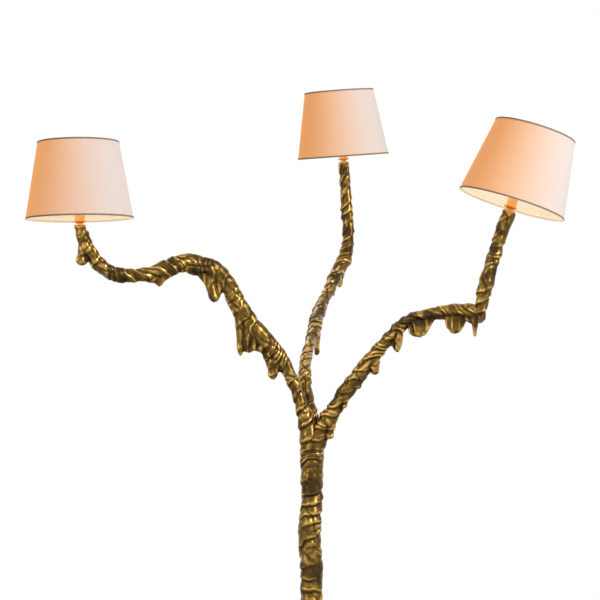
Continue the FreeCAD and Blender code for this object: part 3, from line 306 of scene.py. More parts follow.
class Wiring:
    """Adds nodes to one tree and joins their sockets."""

    def __init__(self, tree: Tree) -> None:
        """Works on that tree."""
        self.tree = tree

    def feed(self, socket: Socket, value: NodeValue) -> None:
        """Joins a socket to another one, or gives it a plain value.

        Args:
            socket: The socket that is fed.
            value: Another socket, or a plain value.
        """
        if isinstance(value, Socket):
            self.tree.links.new(value, socket)
        else:
            socket.default_value = value

    def node(self, kind: str, inputs: dict | None = None, **settings: NodeValue) -> bpy.types.Node:
        """A new node.

        Args:
            kind: The node's type.
            inputs: Values or sockets by the input's name or number.
            **settings: The node's own properties.

        Returns:
            The node.
        """
        made = self.tree.nodes.new(kind)
        for key, value in settings.items():
            setattr(made, key, value)
        for key, value in (inputs or {}).items():
            self.feed(made.inputs[key], value)
        return made

    def math(self, operation: str, *values: NodeValue) -> Socket:
        """A sum of numbers."""
        return self.node("ShaderNodeMath", dict(enumerate(values)), operation=operation).outputs[0]

    def total(self, *values: NodeValue) -> Socket:
        """All values added up."""
        return reduce(lambda first, second: self.math("ADD", first, second), values)

    def times(self, *values: NodeValue) -> Socket:
        """All values multiplied."""
        return reduce(lambda first, second: self.math("MULTIPLY", first, second), values)

    def spread(
        self, value: NodeValue, low: float, high: float, to_low: float = 0.0, to_high: float = 1.0
    ) -> Socket:
        """Maps a range onto another one, smoothly and within its ends."""
        inputs = {0: value, 1: low, 2: high, 3: to_low, 4: to_high}
        return self.node("ShaderNodeMapRange", inputs, interpolation_type="SMOOTHSTEP").outputs[0]

    def noise(
        self, place: NodeValue, scale: NodeValue, detail: float, seed: NodeValue, rough: float = 0.5
    ) -> Socket:
        """Cloudy noise from 0 to 1 at a place."""
        inputs = {"Vector": place, "W": seed, "Scale": scale, "Detail": detail, "Roughness": rough}
        return self.node("ShaderNodeTexNoise", inputs, noise_dimensions="4D").outputs[0]

    def vector(self, operation: str, inputs: dict, output: str = "Vector") -> Socket:
        """A sum of vectors."""
        return self.node("ShaderNodeVectorMath", inputs, operation=operation).outputs[output]

    def coordinate(self, kind: str) -> Socket:
        """A place on the piece, in its own space or on its UV map."""
        return self.node("ShaderNodeTexCoord").outputs[kind]

    def blend(self, mask: NodeValue, first: NodeValue, second: NodeValue) -> Socket:
        """A colour between two, by a mask."""
        return self.node("ShaderNodeMix", {0: mask, 6: first, 7: second}, data_type="RGBA").outputs[2]


def open_group(
    name: str, kind: str, inputs: Sequence[tuple], outputs: Sequence[tuple]
) -> tuple[Wiring, Sockets, Sockets]:
    """A new node group with named sockets.

    Args:
        name: The group's name.
        kind: The type of tree.
        inputs: (name, socket type, default or None) of each input.
        outputs: (name, socket type) of each output.

    Returns:
        The wiring of the group, the sockets it is given and the sockets it fills.
    """
    tree = bpy.data.node_groups.new(name, kind)
    for title, socket, default in inputs:
        made = tree.interface.new_socket(title, in_out="INPUT", socket_type=socket)
        if default is not None:
            made.default_value = default
    for title, socket in outputs:
        tree.interface.new_socket(title, in_out="OUTPUT", socket_type=socket)
    wiring = Wiring(tree)
    given, filled = wiring.node("NodeGroupInput"), wiring.node("NodeGroupOutput")
    return wiring, given.outputs, filled.inputs


@dataclass(frozen=True)
class Pattern:
    """How dense the patterns on a casting are, per metre, and how often its points are averaged."""

    wander: float = 10.0
    shiver: float = 34.0
    strap_patches: float = 9.0
    fold_drift: float = 26.0
    crease_patches: float = 14.0
    drape_drift: float = 17.0
    drape_patches: float = 11.0
    drape_spacing: float = 0.085
    lumps: float = 21.0
    grain: float = 240.0
    ease_rounds: int = 3
    cavity_rounds: int = 5
    hollow_rounds: int = 40


def cast_skin() -> Tree:
    """Geometry nodes that wrap a smooth casting in straps, creases, drapes, lumps and grain.

    They also keep on each point how hollow the skin is there, over a small and over a large reach.

    Returns:
        The tree.
    """
    pattern, number = Pattern(), "NodeSocketFloat"
    inputs = [
        ("Geometry", "NodeSocketGeometry", None),
        ("Pitch", number, 0.04),
        ("Starts", number, -1.0),
        ("Strap", number, 0.004),
        ("Crease", number, 0.0015),
        ("Drape", number, 0.0025),
        ("Lumps", number, 0.002),
        ("Grain", number, 0.0002),
        ("Seed", number, 0.0),
        ("Smoothing", "NodeSocketInt", 3),
        ("Material", "NodeSocketMaterial", None),
    ]
    outputs = [("Geometry", "NodeSocketGeometry")]
    w, given, out = open_group("cast_skin", "GeometryNodeTree", inputs, outputs)
    place = w.node("GeometryNodeInputPosition").outputs[0]
    normal = w.node("GeometryNodeInputNormal").outputs[0]

    def kept(name: str) -> Socket:
        """A number kept on the points."""
        return w.node("GeometryNodeInputNamedAttribute", {"Name": name}, data_type="FLOAT").outputs[0]

    def blurred(rounds: NodeValue) -> Socket:
        """Each point's place, averaged with its neighbours'.

        Args:
            rounds: How often it is averaged.

        Returns:
            The place.
        """
        node = w.node("GeometryNodeBlurAttribute", data_type="FLOAT_VECTOR")
        w.feed(next(s for s in node.inputs if s.enabled and s.type == "VECTOR"), place)
        w.feed(node.inputs["Iterations"], rounds)
        return next(s for s in node.outputs if s.enabled)

    def moved(geometry: Socket, how: str, where: Socket) -> Socket:
        """The geometry with its points put in a place or moved by an offset."""
        return w.node("GeometryNodeSetPosition", {"Geometry": geometry, how: where}).outputs[0]

    def cloud(scale: float, shift: float, detail: float = 1.0) -> Socket:
        """Noise on the skin, each kind with its own shift of the seed."""
        return w.noise(place, scale, detail, w.total(given["Seed"], shift))

    def fold(turns: Socket) -> Socket:
        """Round folds with sharp valleys, one for each turn."""
        return w.math("ABSOLUTE", w.math("SINE", w.times(turns, math.pi)))

    phase = w.total(
        w.math("DIVIDE", kept("along"), given["Pitch"]),
        w.times(kept("round"), given["Starts"]),
        w.times(w.math("SUBTRACT", cloud(pattern.wander, 0.0), 0.5), 3.2),
        w.times(w.math("SUBTRACT", cloud(pattern.shiver, 3.0), 0.5), 0.5),
    )
    saw = w.math("FRACT", phase)
    lip = w.times(w.spread(saw, 0.0, 0.3), w.math("POWER", w.math("SUBTRACT", 1.0, saw), 0.8))
    strap_where = w.spread(cloud(pattern.strap_patches, 7.0), 0.35, 0.62, 0.35, 1.25)
    strap = w.times(w.math("SUBTRACT", lip, 0.45), strap_where)
    crease_fold = fold(w.total(w.times(phase, 2.0), w.times(cloud(pattern.fold_drift, 11.0), 2.4)))
    crease = w.math("SUBTRACT", w.math("POWER", crease_fold, 0.55), 0.72)
    crease_where = w.spread(cloud(pattern.crease_patches, 17.0), 0.42, 0.62, 0.05, 1.0)
    drape_fold = fold(
        w.total(
            w.times(kept("round"), 4.0),
            w.math("DIVIDE", kept("along"), pattern.drape_spacing),
            w.times(cloud(pattern.drape_drift, 31.0), 2.4),
        )
    )
    drape = w.math("SUBTRACT", w.math("POWER", drape_fold, 0.7), 0.68)
    drape_where = w.spread(cloud(pattern.drape_patches, 37.0), 0.44, 0.6)
    lumps = w.math("SUBTRACT", cloud(pattern.lumps, 23.0), 0.5)
    grain = w.math("SUBTRACT", cloud(pattern.grain, 29.0, 2.0), 0.5)
    height = w.total(
        w.times(strap, given["Strap"]),
        w.times(crease, crease_where, given["Crease"]),
        w.times(drape, drape_where, given["Drape"]),
        w.times(lumps, given["Lumps"], 2.0),
        w.times(grain, given["Grain"], 2.0),
    )
    push = {0: normal, "Scale": w.times(height, kept("rough"))}
    soft = moved(given["Geometry"], "Position", blurred(given["Smoothing"]))
    wrapped = moved(soft, "Offset", w.vector("SCALE", push))
    last = moved(wrapped, "Position", blurred(pattern.ease_rounds))
    # Cavity and hollow depths feed the bronze's patina, painted shade and painted highlight.
    for name, rounds in (("cavity", pattern.cavity_rounds), ("hollow", pattern.hollow_rounds)):
        sink = w.vector("SUBTRACT", {0: blurred(rounds), 1: place})
        depth = w.vector("DOT_PRODUCT", {0: sink, 1: normal}, "Value")
        keep = w.node("GeometryNodeStoreNamedAttribute", {"Geometry": last, "Name": name})
        keep.domain, keep.data_type = "POINT", "FLOAT"
        w.feed(next(s for s in keep.inputs if s.enabled and s.name == "Value"), w.times(depth, 1 / MM))
        last = keep.outputs[0]
    whole = w.node("GeometryNodeRealizeInstances", {"Geometry": last}).outputs[0]
    dressed = w.node("GeometryNodeSetMaterial", {"Geometry": whole, "Material": given["Material"]})
    w.feed(out["Geometry"], dressed.outputs[0])
    return w.tree


def add_nodes(piece: Piece, tree: Tree, values: dict[str, NodeValue]) -> None:
    """Puts a geometry tree on a piece, sets its named inputs and settles the result into the mesh.

    Args:
        piece: The piece.
        tree: The geometry tree.
        values: A value for each named input.
    """
    modifier = piece.modifiers.new(tree.name, "NODES")
    modifier.node_group = tree
    for socket in tree.interface.items_tree:
        if socket.item_type == "SOCKET" and socket.in_out == "INPUT" and socket.name in values:
            modifier[socket.identifier] = values[socket.name]
    settle(piece)


# Limbs.

# How the length of a drip and of a curtain divides into a body and a round end, and the thinnest cap.
DRIP_BODY, DRIP_END = 0.82, 0.18
CURTAIN_BODY, CURTAIN_END = 0.86, 0.14
THINNEST = 0.0004
# Samples on each side over which a curtain's direction is averaged.
SMOOTH_SPAN = 6


def running(points: np.ndarray) -> np.ndarray:
    """How far along a row of points each one is."""
    return np.concatenate([[0], np.cumsum(np.linalg.norm(np.diff(points, axis=0), axis=1))])


@dataclass
class Line:
    """A limb's centreline, sampled closely."""

    centres: np.ndarray
    across: np.ndarray
    inwards: np.ndarray
    halves: np.ndarray
    run: np.ndarray


@dataclass
class Limb:
    """A limb through stations, as one smooth line with an oval section."""

    stations: list[Row]
    first: Row | None = None
    last: Row | None = None
    start_run: float = 0.0
    step: float = 2.0

    def line(self) -> Line:
        """The line through the stations, with the section's directions and half sizes at each sample.

        Returns:
            The line.
        """
        rows = np.array(self.stations, float)
        knots = running(rows[:, :3])
        slopes = np.gradient(rows, knots, axis=0)
        for index, way in ((0, self.first), (-1, self.last)):
            if way is not None:
                slopes[index, :3] = np.array(way, float) / np.linalg.norm(way)
        samples = np.linspace(0, knots[-1], max(int(knots[-1] / self.step), 4))
        which = np.clip(np.searchsorted(knots, samples, side="right") - 1, 0, len(knots) - 2)
        gap = (knots[which + 1] - knots[which])[:, None]
        t = ((samples - knots[which])[:, None]) / gap
        a, b = rows[which], rows[which + 1]
        ka, kb = slopes[which] * gap, slopes[which + 1] * gap
        found = (2 * t**3 - 3 * t**2 + 1) * a + (t**3 - 2 * t**2 + t) * ka
        found += (3 * t**2 - 2 * t**3) * b + (t**3 - t**2) * kb
        along = np.gradient(found[:, :3], axis=0)
        along /= np.linalg.norm(along, axis=1)[:, None]
        across = np.cross(np.array([0.0, 1.0, 0.0]), along)
        across /= np.linalg.norm(across, axis=1)[:, None]
        inwards, run = np.cross(along, across), samples + self.start_run
        return Line(found[:, :3], across, inwards, found[:, 3:] / 2, run)

    def rings(self, low: float = -1e9, high: float = 1e9, sides: int = 56) -> np.ndarray:
        """The rings of the limb between two runs along it.

        Args:
            low: The first run.
            high: The last run.
            sides: Points in a ring.

        Returns:
            The points, as (rings, points in a ring, 3).
        """
        line = self.line()
        keep = (line.run >= low) & (line.run <= high)
        angles = np.linspace(0, 2 * math.pi, sides, endpoint=False)
        wide, deep = line.halves[keep][:, None, :1], line.halves[keep][:, None, 1:]
        aside = line.across[keep][:, None, :] * (wide * np.cos(angles)[None, :, None])
        inward = line.inwards[keep][:, None, :] * (deep * np.sin(angles)[None, :, None])
        return line.centres[keep][:, None, :] + aside + inward


def raised(rows: Sequence[Row]) -> list[Row]:
    """Rows that are counted from the fork, counted from the floor."""
    return [(x, y, z + FORK_HEIGHT, *rest) for x, y, z, *rest in rows]


def drip_rings(row: Row, bearing: float) -> np.ndarray:
    """A frozen drip with a broad root, a slim waist and a round, slightly swollen end.

    Args:
        row: The drip, as in the tables above.
        bearing: Which way its broad side faces, in degrees.

    Returns:
        The rings round it.
    """
    x0, y0, z0, x1, z1, root_wide, end_wide, deep = row
    across = np.array([math.cos(math.radians(bearing)), math.sin(math.radians(bearing)), 0])
    inwards = np.array([-across[1], across[0], 0])
    waist = 0.5 * (root_wide + end_wide) * 0.8
    rounding = np.sin(np.linspace(0.12, 1, 10) * math.pi / 2)
    shares = np.concatenate([np.linspace(0, DRIP_BODY, 14), DRIP_BODY + DRIP_END * rounding])
    widths = [root_wide * 0.85, waist * 1.1, waist * 0.88, end_wide]
    wide = np.interp(shares, [0, 0.35, 0.62, DRIP_BODY], widths)
    depths = [deep * 0.85, deep * 0.85, deep * 0.7, deep * 0.8]
    thick = np.interp(shares, [0, 0.35, 0.7, DRIP_BODY], depths)
    cap = np.sqrt(np.clip(1 - ((shares - DRIP_BODY) / DRIP_END).clip(0) ** 2, THINNEST, 1))
    angles = np.linspace(0, 2 * math.pi, 28, endpoint=False)
    height = z0 + (z1 - z0) * shares + FORK_HEIGHT
    centres = np.stack([x0 + (x1 - x0) * shares, np.full_like(shares, y0), height], axis=1)
    aside = (wide * cap / 2)[:, None, None] * np.cos(angles)[None, :, None]
    front = (thick * cap / 2)[:, None, None] * np.sin(angles)[None, :, None]
    return centres[:, None, :] + across * aside + inwards * front


@dataclass
class Curtain:
    """A thin sheet of frozen metal between a limb and its wavy lower edge."""

    rows: list[Row]
    thick_top: float = 24.0
    thick_low: float = 9.0
    folds: float = 2.2
    fold_width: float = 17.0

    def rings(self) -> np.ndarray:
        """Closed sections across the sheet, from one end of it to the other.

        Returns:
            The sections, as (sections, points in a section, 3).
        """
        table = np.array(raised(self.rows), float)
        table[:, 3] += FORK_HEIGHT
        knots = running(table[:, [0, 3]])
        samples = np.arange(0, knots[-1], 2.0)
        x, y, top, low = (np.interp(samples, knots, table[:, i]) for i in range(4))
        travel = np.gradient(np.stack([x, y], axis=1), axis=0)
        travel /= np.linalg.norm(travel, axis=1)[:, None] + 1e-9
        span = 2 * SMOOTH_SPAN + 1
        padded = [np.pad(travel[:, i], SMOOTH_SPAN, "edge") for i in range(2)]
        travel = np.stack([np.convolve(side, np.ones(span) / span, "valid") for side in padded], axis=1)
        travel /= np.linalg.norm(travel, axis=1)[:, None]
        outward = np.stack([travel[:, 1], -travel[:, 0], np.zeros(len(x))], axis=1)
        outward *= np.where(outward[:, 1] > 0, -1, 1)[:, None]
        rounding = np.sin(np.linspace(0.15, 1, 7) * math.pi / 2)
        down = np.concatenate([np.linspace(0, CURTAIN_BODY, 16), CURTAIN_BODY + CURTAIN_END * rounding])
        middle = 0.55 * (self.thick_top + self.thick_low)
        thick = np.interp(down, [0, 0.5, 1], [self.thick_top, middle, self.thick_low])
        cap = np.clip(1 - ((down - CURTAIN_BODY) / CURTAIN_END).clip(0) ** 2, THINNEST, 1)
        thick = thick * np.sqrt(cap)
        sway = self.folds * np.sin(2 * math.pi * x / self.fold_width + 0.8 * np.sin(x / 23))
        rings = []
        for i in range(len(samples)):
            height = top[i] + (low[i] - top[i]) * down
            spine = np.stack([np.full_like(down, x[i]), np.full_like(down, y[i]), height], axis=1)
            spine += outward[i] * (sway[i] * np.minimum(1, down * 1.6))[:, None]
            half = outward[i] * (thick / 2)[:, None]
            rings.append(np.concatenate([spine + half, (spine - half)[::-1]]))
        return np.array(rings)


# Castings.


@dataclass(frozen=True)
class Relief:
    """How a casting's skin is wrapped, in millimetres."""

    pitch: float = 36.0
    starts: float = -2.0
    strap: float = 4.6
    crease: float = 2.0
    drape: float = 3.0
    lumps: float = 5.0
    grain: float = 0.16
    seed: float = 8.0


TRUNK_RELIEF = Relief(strap=5.6, crease=2.6)
FOOT_RELIEF = Relief(pitch=46, starts=-3, strap=3.6, crease=1.6, lumps=7.0)
RISER_RELIEF = Relief(strap=5.2)

# Holes pressed into the back (x, z, radius, floor of the hole in y): the inlet bush's seat and bore, and
# for a grub screw its radius and floor, and how far it stands from a joint.
INLET_SEAT: list[Row] = [(0.0, 13.5, 10.5, 181.0), (0.0, 13.5, 7.0, 160.0)]
GRUB_HOLE: Row = (3.4, 27.0)
GRUB_OFF = 20


@dataclass
class Casting:
    """One cast piece: solids run together, smoothed and wrapped."""

    node: str
    solids: list[np.ndarray]
    lines: list[Line]
    relief: Relief
    voxel: float = 1.5
    smoothing: int = 4
    calm: list[tuple[Row, Row]] = field(default_factory=list)
    drills: list[Row] = field(default_factory=list)
    flow: Callable[[np.ndarray], Flow] | None = None
    calm_depth: float = 9.0
    calm_reach: float = 45.0
    chunk: int = 20000

    def nearest(self, points: np.ndarray) -> Flow:
        """Where along and round the nearest limb each point is, and how wrapped it is.

        Args:
            points: The casting's points.

        Returns:
            The run, the part of a turn, and 1 on a limb, falling to 0.45 on drips and curtains.
        """
        centres = np.concatenate([line.centres for line in self.lines])
        across = np.concatenate([line.across for line in self.lines])
        inwards = np.concatenate([line.inwards for line in self.lines])
        run = np.concatenate([line.run for line in self.lines])
        found = np.zeros(len(points), int)
        for start in range(0, len(points), self.chunk):
            part = points[start : start + self.chunk]
            gap = (part**2).sum(1)[:, None] - 2 * part @ centres.T + (centres**2).sum(1)[None, :]
            found[start : start + self.chunk] = gap.argmin(axis=1)
        off = points - centres[found]
        turn = np.arctan2((off * inwards[found]).sum(1), (off * across[found]).sum(1)) / (2 * math.pi)
        halves = np.concatenate([line.halves for line in self.lines]).max(axis=1)
        away = np.linalg.norm(off, axis=1) / halves[found]
        return run[found], turn, 1 - 0.55 * np.clip((away - 1.2) / 0.6, 0, 1)

    def make(self, tree: Tree, material: Material) -> None:
        """Builds the casting and dresses it in place of its CAD node.

        Args:
            tree: The geometry tree that wraps it.
            material: The metal.
        """
        points, faces = [], []
        for rings in self.solids:
            more_points, more_faces = skin(rings, len(points))
            points += more_points
            faces += more_faces
        piece = mesh_piece(self.node + "_cast", points, faces)
        remesh = piece.modifiers.new("run together", "REMESH")
        remesh.mode, remesh.voxel_size = "VOXEL", self.voxel * MM
        settle(piece)
        at = points_of(piece)
        run, turn, rough = self.flow(at) if self.flow else self.nearest(at)
        for spot, way in self.calm:
            depth = (np.array(spot, float) - at) @ (np.array(way, float) / np.linalg.norm(way))
            near = np.linalg.norm(at - np.array(spot, float), axis=1) < self.calm_reach
            rough = np.where(near, np.minimum(rough, np.clip(depth / self.calm_depth, 0, 1)), rough)
        for name, values in (("along", run * MM), ("round", turn), ("rough", rough)):
            store(piece, name, values)
        r = self.relief
        values = {
            "Pitch": r.pitch * MM,
            "Starts": r.starts,
            "Strap": r.strap * MM,
            "Crease": r.crease * MM,
            "Drape": r.drape * MM,
            "Lumps": r.lumps * MM,
            "Grain": r.grain * MM,
            "Seed": r.seed,
            "Smoothing": self.smoothing,
            "Material": material,
        }
        add_nodes(piece, tree, values)
        self.drill(piece)
        smooth_faces(piece)
        for name in ("along", "round", "rough"):
            piece.data.attributes.remove(piece.data.attributes[name])
        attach(piece, "stand")
        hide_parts(self.node)
        LOG.info("%s: %d faces", piece.name, len(piece.data.polygons))

    def drill(self, piece: Piece) -> None:
        """Presses round holes into the back: (x, z, radius, floor of the hole in y).

        Args:
            piece: The casting.
        """
        if not self.drills:
            return
        at = points_of(piece)
        for x, z, radius, floor in self.drills:
            inside = ((at[:, 0] - x) ** 2 + (at[:, 2] - z) ** 2 < radius**2) & (at[:, 1] > floor)
            at[inside, 1] = floor
        put_points(piece, at)


@dataclass
class Stand:
    """The foot, the trunk, the crown and the three branches."""

    foot_radius: float = 190.0
    foot_height: float = 112.0
    trunk_split: float = 450.0
    sheet: float = 4.0
    lap: float = 3.0
    up: Row = (0, 0, 1)
    fork_run: float = FORK_HEIGHT
    roots: list[Row] = field(default_factory=lambda: list(FOOT_ROOTS))

    def build(self, material: Material) -> None:
        """Builds every casting.

        Args:
            material: The metal.
        """
        tree = cast_skin()
        self.foot(tree, material)
        self.trunk(tree, material)
        self.crown_and_branches(tree, material)

    def foot(self, tree: Tree, material: Material) -> None:
        """The poured foot with its ridges, and the flat seat of the inlet bush at the back.

        Args:
            tree: The geometry tree that wraps a casting.
            material: The metal.
        """
        under, radius, top, neck = self.sheet, self.foot_radius, self.foot_height, LOWER_TRUNK[0][3] / 2
        flare = [
            (under, radius - 7),
            (under + 2.5, radius - 2),
            (under + 7, radius),
            (under + 12, radius - 2),
            (under + 17, radius - 9),
            (under + 24, radius - 28),
            (under + 34, radius - 70),
            (under + 50, radius - 112),
            (under + 74, neck + 18),
            (top - 12, neck + 3),
            (top + self.lap, neck),
        ]
        angles = np.linspace(0, 2 * math.pi, 120, endpoint=False)
        bays = 0.022 * np.cos(3 * angles + 0.6) + 0.018 * np.cos(5 * angles - 1.1)
        rings = []
        for z, r in flare:
            reach = r * (1 + bays * min(1.0, r / radius) ** 2)
            ring = [reach * np.cos(angles), reach * np.sin(angles), np.full_like(angles, z)]
            rings.append(np.stack(ring, axis=1))
        solids = [np.array(rings), *(self.root(bearing, reach) for bearing, reach in self.roots)]

        def flow(at: np.ndarray) -> Flow:
            """Runs down the flare and out over the foot, wrapped alike everywhere.

            Args:
                at: The foot's points.

            Returns:
                The run, the part of a turn and how wrapped the skin is.
            """
            out = np.hypot(at[:, 0], at[:, 1])
            turn = np.arctan2(at[:, 1], at[:, 0]) / (2 * math.pi)
            return at[:, 2] - 0.8 * (out - neck), turn, np.ones(len(at))

        foot = Casting("foot", solids, [], FOOT_RELIEF, voxel=2.0, flow=flow, calm_reach=260.0)
        foot.drills = [*INLET_SEAT, (0.0, top - GRUB_OFF, *GRUB_HOLE)]
        foot.calm = [((0, 0, under + 4.5), (0, 0, -1))]
        foot.make(tree, material)

    def root(self, bearing: float, reach: float) -> np.ndarray:
        """A ridge that runs down from the trunk and out over the foot.

        Args:
            bearing: Which way it runs, in degrees.
            reach: How far out it ends.

        Returns:
            The rings round it.
        """
        way = np.array([math.cos(math.radians(bearing)), math.sin(math.radians(bearing)), 0])
        side = np.array([-way[1], way[0], 0])
        top, rim = self.foot_height, self.sheet
        slope = [
            (14, top - 4, 18, 14),
            (30, top - 36, 24, 20),
            (62, rim + 48, 28, 24),
            (0.62 * reach, rim + 28, 26, 22),
            (0.85 * reach, rim + 17, 22, 16),
            (reach, rim + 11, 12, 8),
        ]
        stations = [(*(way[:2] * out), z, wide, tall) for out, z, wide, tall in slope]
        sampled = Limb(stations, step=4.0).line()
        angles = np.linspace(0, 2 * math.pi, 28, endpoint=False)
        along = np.gradient(sampled.centres, axis=0)
        along /= np.linalg.norm(along, axis=1)[:, None]
        upward = np.cross(along, side)
        wide, tall = sampled.halves[:, None, :1], sampled.halves[:, None, 1:]
        rings = sampled.centres[:, None, :] + side * (wide * np.cos(angles)[None, :, None])
        return rings + upward[:, None, :] * (tall * np.sin(angles)[None, :, None])

    def trunk(self, tree: Tree, material: Material) -> None:
        """The two trunk castings, on one line from the foot to the fork.

        Args:
            tree: The geometry tree that wraps a casting.
            material: The metal.
        """
        split, fork = self.trunk_split, FORK_HEIGHT
        ends = [(LOWER_TRUNK[0], -10), (UPPER_TRUNK[-1], 10)]
        longer = [(x, y, z + more, wide, deep) for (x, y, z, wide, deep), more in ends]
        stations = [longer[0], *LOWER_TRUNK[1:], *UPPER_TRUNK[1:], longer[1]]
        whole = Limb(stations, self.up, self.up, self.foot_height - 10)
        line = whole.line()
        self.fork_run = float(line.run[np.abs(line.centres[:, 2] - fork).argmin()])
        for node, low, high in (("trunk_lower", self.foot_height, split), ("trunk_upper", split, fork)):
            rings = whole.rings(low - self.lap, high + self.lap)
            holes = [(0.0, z, *GRUB_HOLE) for z in (low + GRUB_OFF, high - GRUB_OFF)]
            casting = Casting(node, [rings], [line], TRUNK_RELIEF, smoothing=3, drills=holes)
            casting.make(tree, material)

    def crown_and_branches(self, tree: Tree, material: Material) -> None:
        """The knot where the trunk divides, and the branches that grow out of it.

        Args:
            tree: The geometry tree that wraps a casting.
            material: The metal.
        """
        fork = (*FORK[:2], FORK_HEIGHT, *FORK[3:])
        below = (FORK[0], FORK[1], FORK_HEIGHT - 10, *FORK[3:])
        table = {
            "left": (LEFT_ROOT, [*LEFT_BRANCH, LEFT_TIP], Lamp.LEFT, LEFT_DRIPS, 18),
            "centre": (CENTRE_ROOT, [*CENTRE_BRANCH, CENTRE_TIP], Lamp.CENTRE, CENTRE_DRIPS, 0),
            "right": (RIGHT_ROOT, [*RIGHT_BRANCH, RIGHT_END], None, RIGHT_DRIPS, -30),
        }
        curtains = {
            "left": [
                Curtain(ARCH_CURTAIN),
                Curtain(LOBE_CURTAIN, 26, 12, 1.6, 21),
                Curtain(SLOPE_CURTAIN, 28, 10, 2.6, 19),
            ],
            "centre": [],
            "right": [Curtain(RIDGE_CURTAIN, 16, 8, 1.8, 15)],
        }
        reliefs = {
            "left": Relief(strap=4.4, crease=2.2),
            "centre": Relief(strap=5.0),
            "right": Relief(strap=4.6, crease=2.2),
        }
        crown_solids, crown_lines = [], []
        for name, (root, branch, lamp, drip_rows, bearing) in table.items():
            last = tuple(lamp_axis(lamp)) if lamp else None
            stations = [below, fork, *raised(root), *raised(branch)]
            limb = Limb(stations, self.up, last, self.fork_run - 10)
            line = limb.line()
            joint = np.array(raised(branch)[0][:3])
            joint_run = line.run[np.linalg.norm(line.centres - joint, axis=1).argmin()]
            crown_solids.append(limb.rings(self.fork_run - self.lap, joint_run + self.lap))
            crown_lines.append(line)
            solids = [limb.rings(joint_run - self.lap)]
            solids += [drip_rings(row, bearing) for row in drip_rows]
            solids += [curtain.rings() for curtain in curtains[name]]
            calm = [] if lamp is None else [(tuple(line.centres[-1]), tuple(lamp_axis(lamp)))]
            casting = Casting(f"branch_{name}", solids, [line], reliefs[name], smoothing=3, calm=calm)
            casting.make(tree, material)
        crown_solids += [drip_rings(row, -20) for row in CROWN_DRIPS]
        holes = [(0.0, FORK_HEIGHT + GRUB_OFF, *GRUB_HOLE)]
        Casting("crown", crown_solids, crown_lines, TRUNK_RELIEF, drills=holes).make(tree, material)
        riser = Limb(raised([*RISER, RIGHT_TIP]), self.up, tuple(lamp_axis(Lamp.RIGHT)))
        line = riser.line()
        calm = [(tuple(line.centres[-1]), tuple(lamp_axis(Lamp.RIGHT)))]
        casting = Casting("riser_right", [riser.rings()], [line], RISER_RELIEF, 1.4, 3, calm)
        casting.make(tree, material)


# Finishes.


def linear(red: float, green: float, blue: float) -> tuple[float, float, float, float]:
    """A colour as seen on a screen, from 0 to 255, as light.

    Args:
        red: Its red part.
        green: Its green part.
        blue: Its blue part.

    Returns:
        The four parts of the light, from 0 to 1.
    """
    found = []
    for part in (red, green, blue):
        share = part / 255
        found.append(share / 12.92 if share <= 0.04045 else ((share + 0.055) / 1.055) ** 2.4)
    return (*found, 1.0)


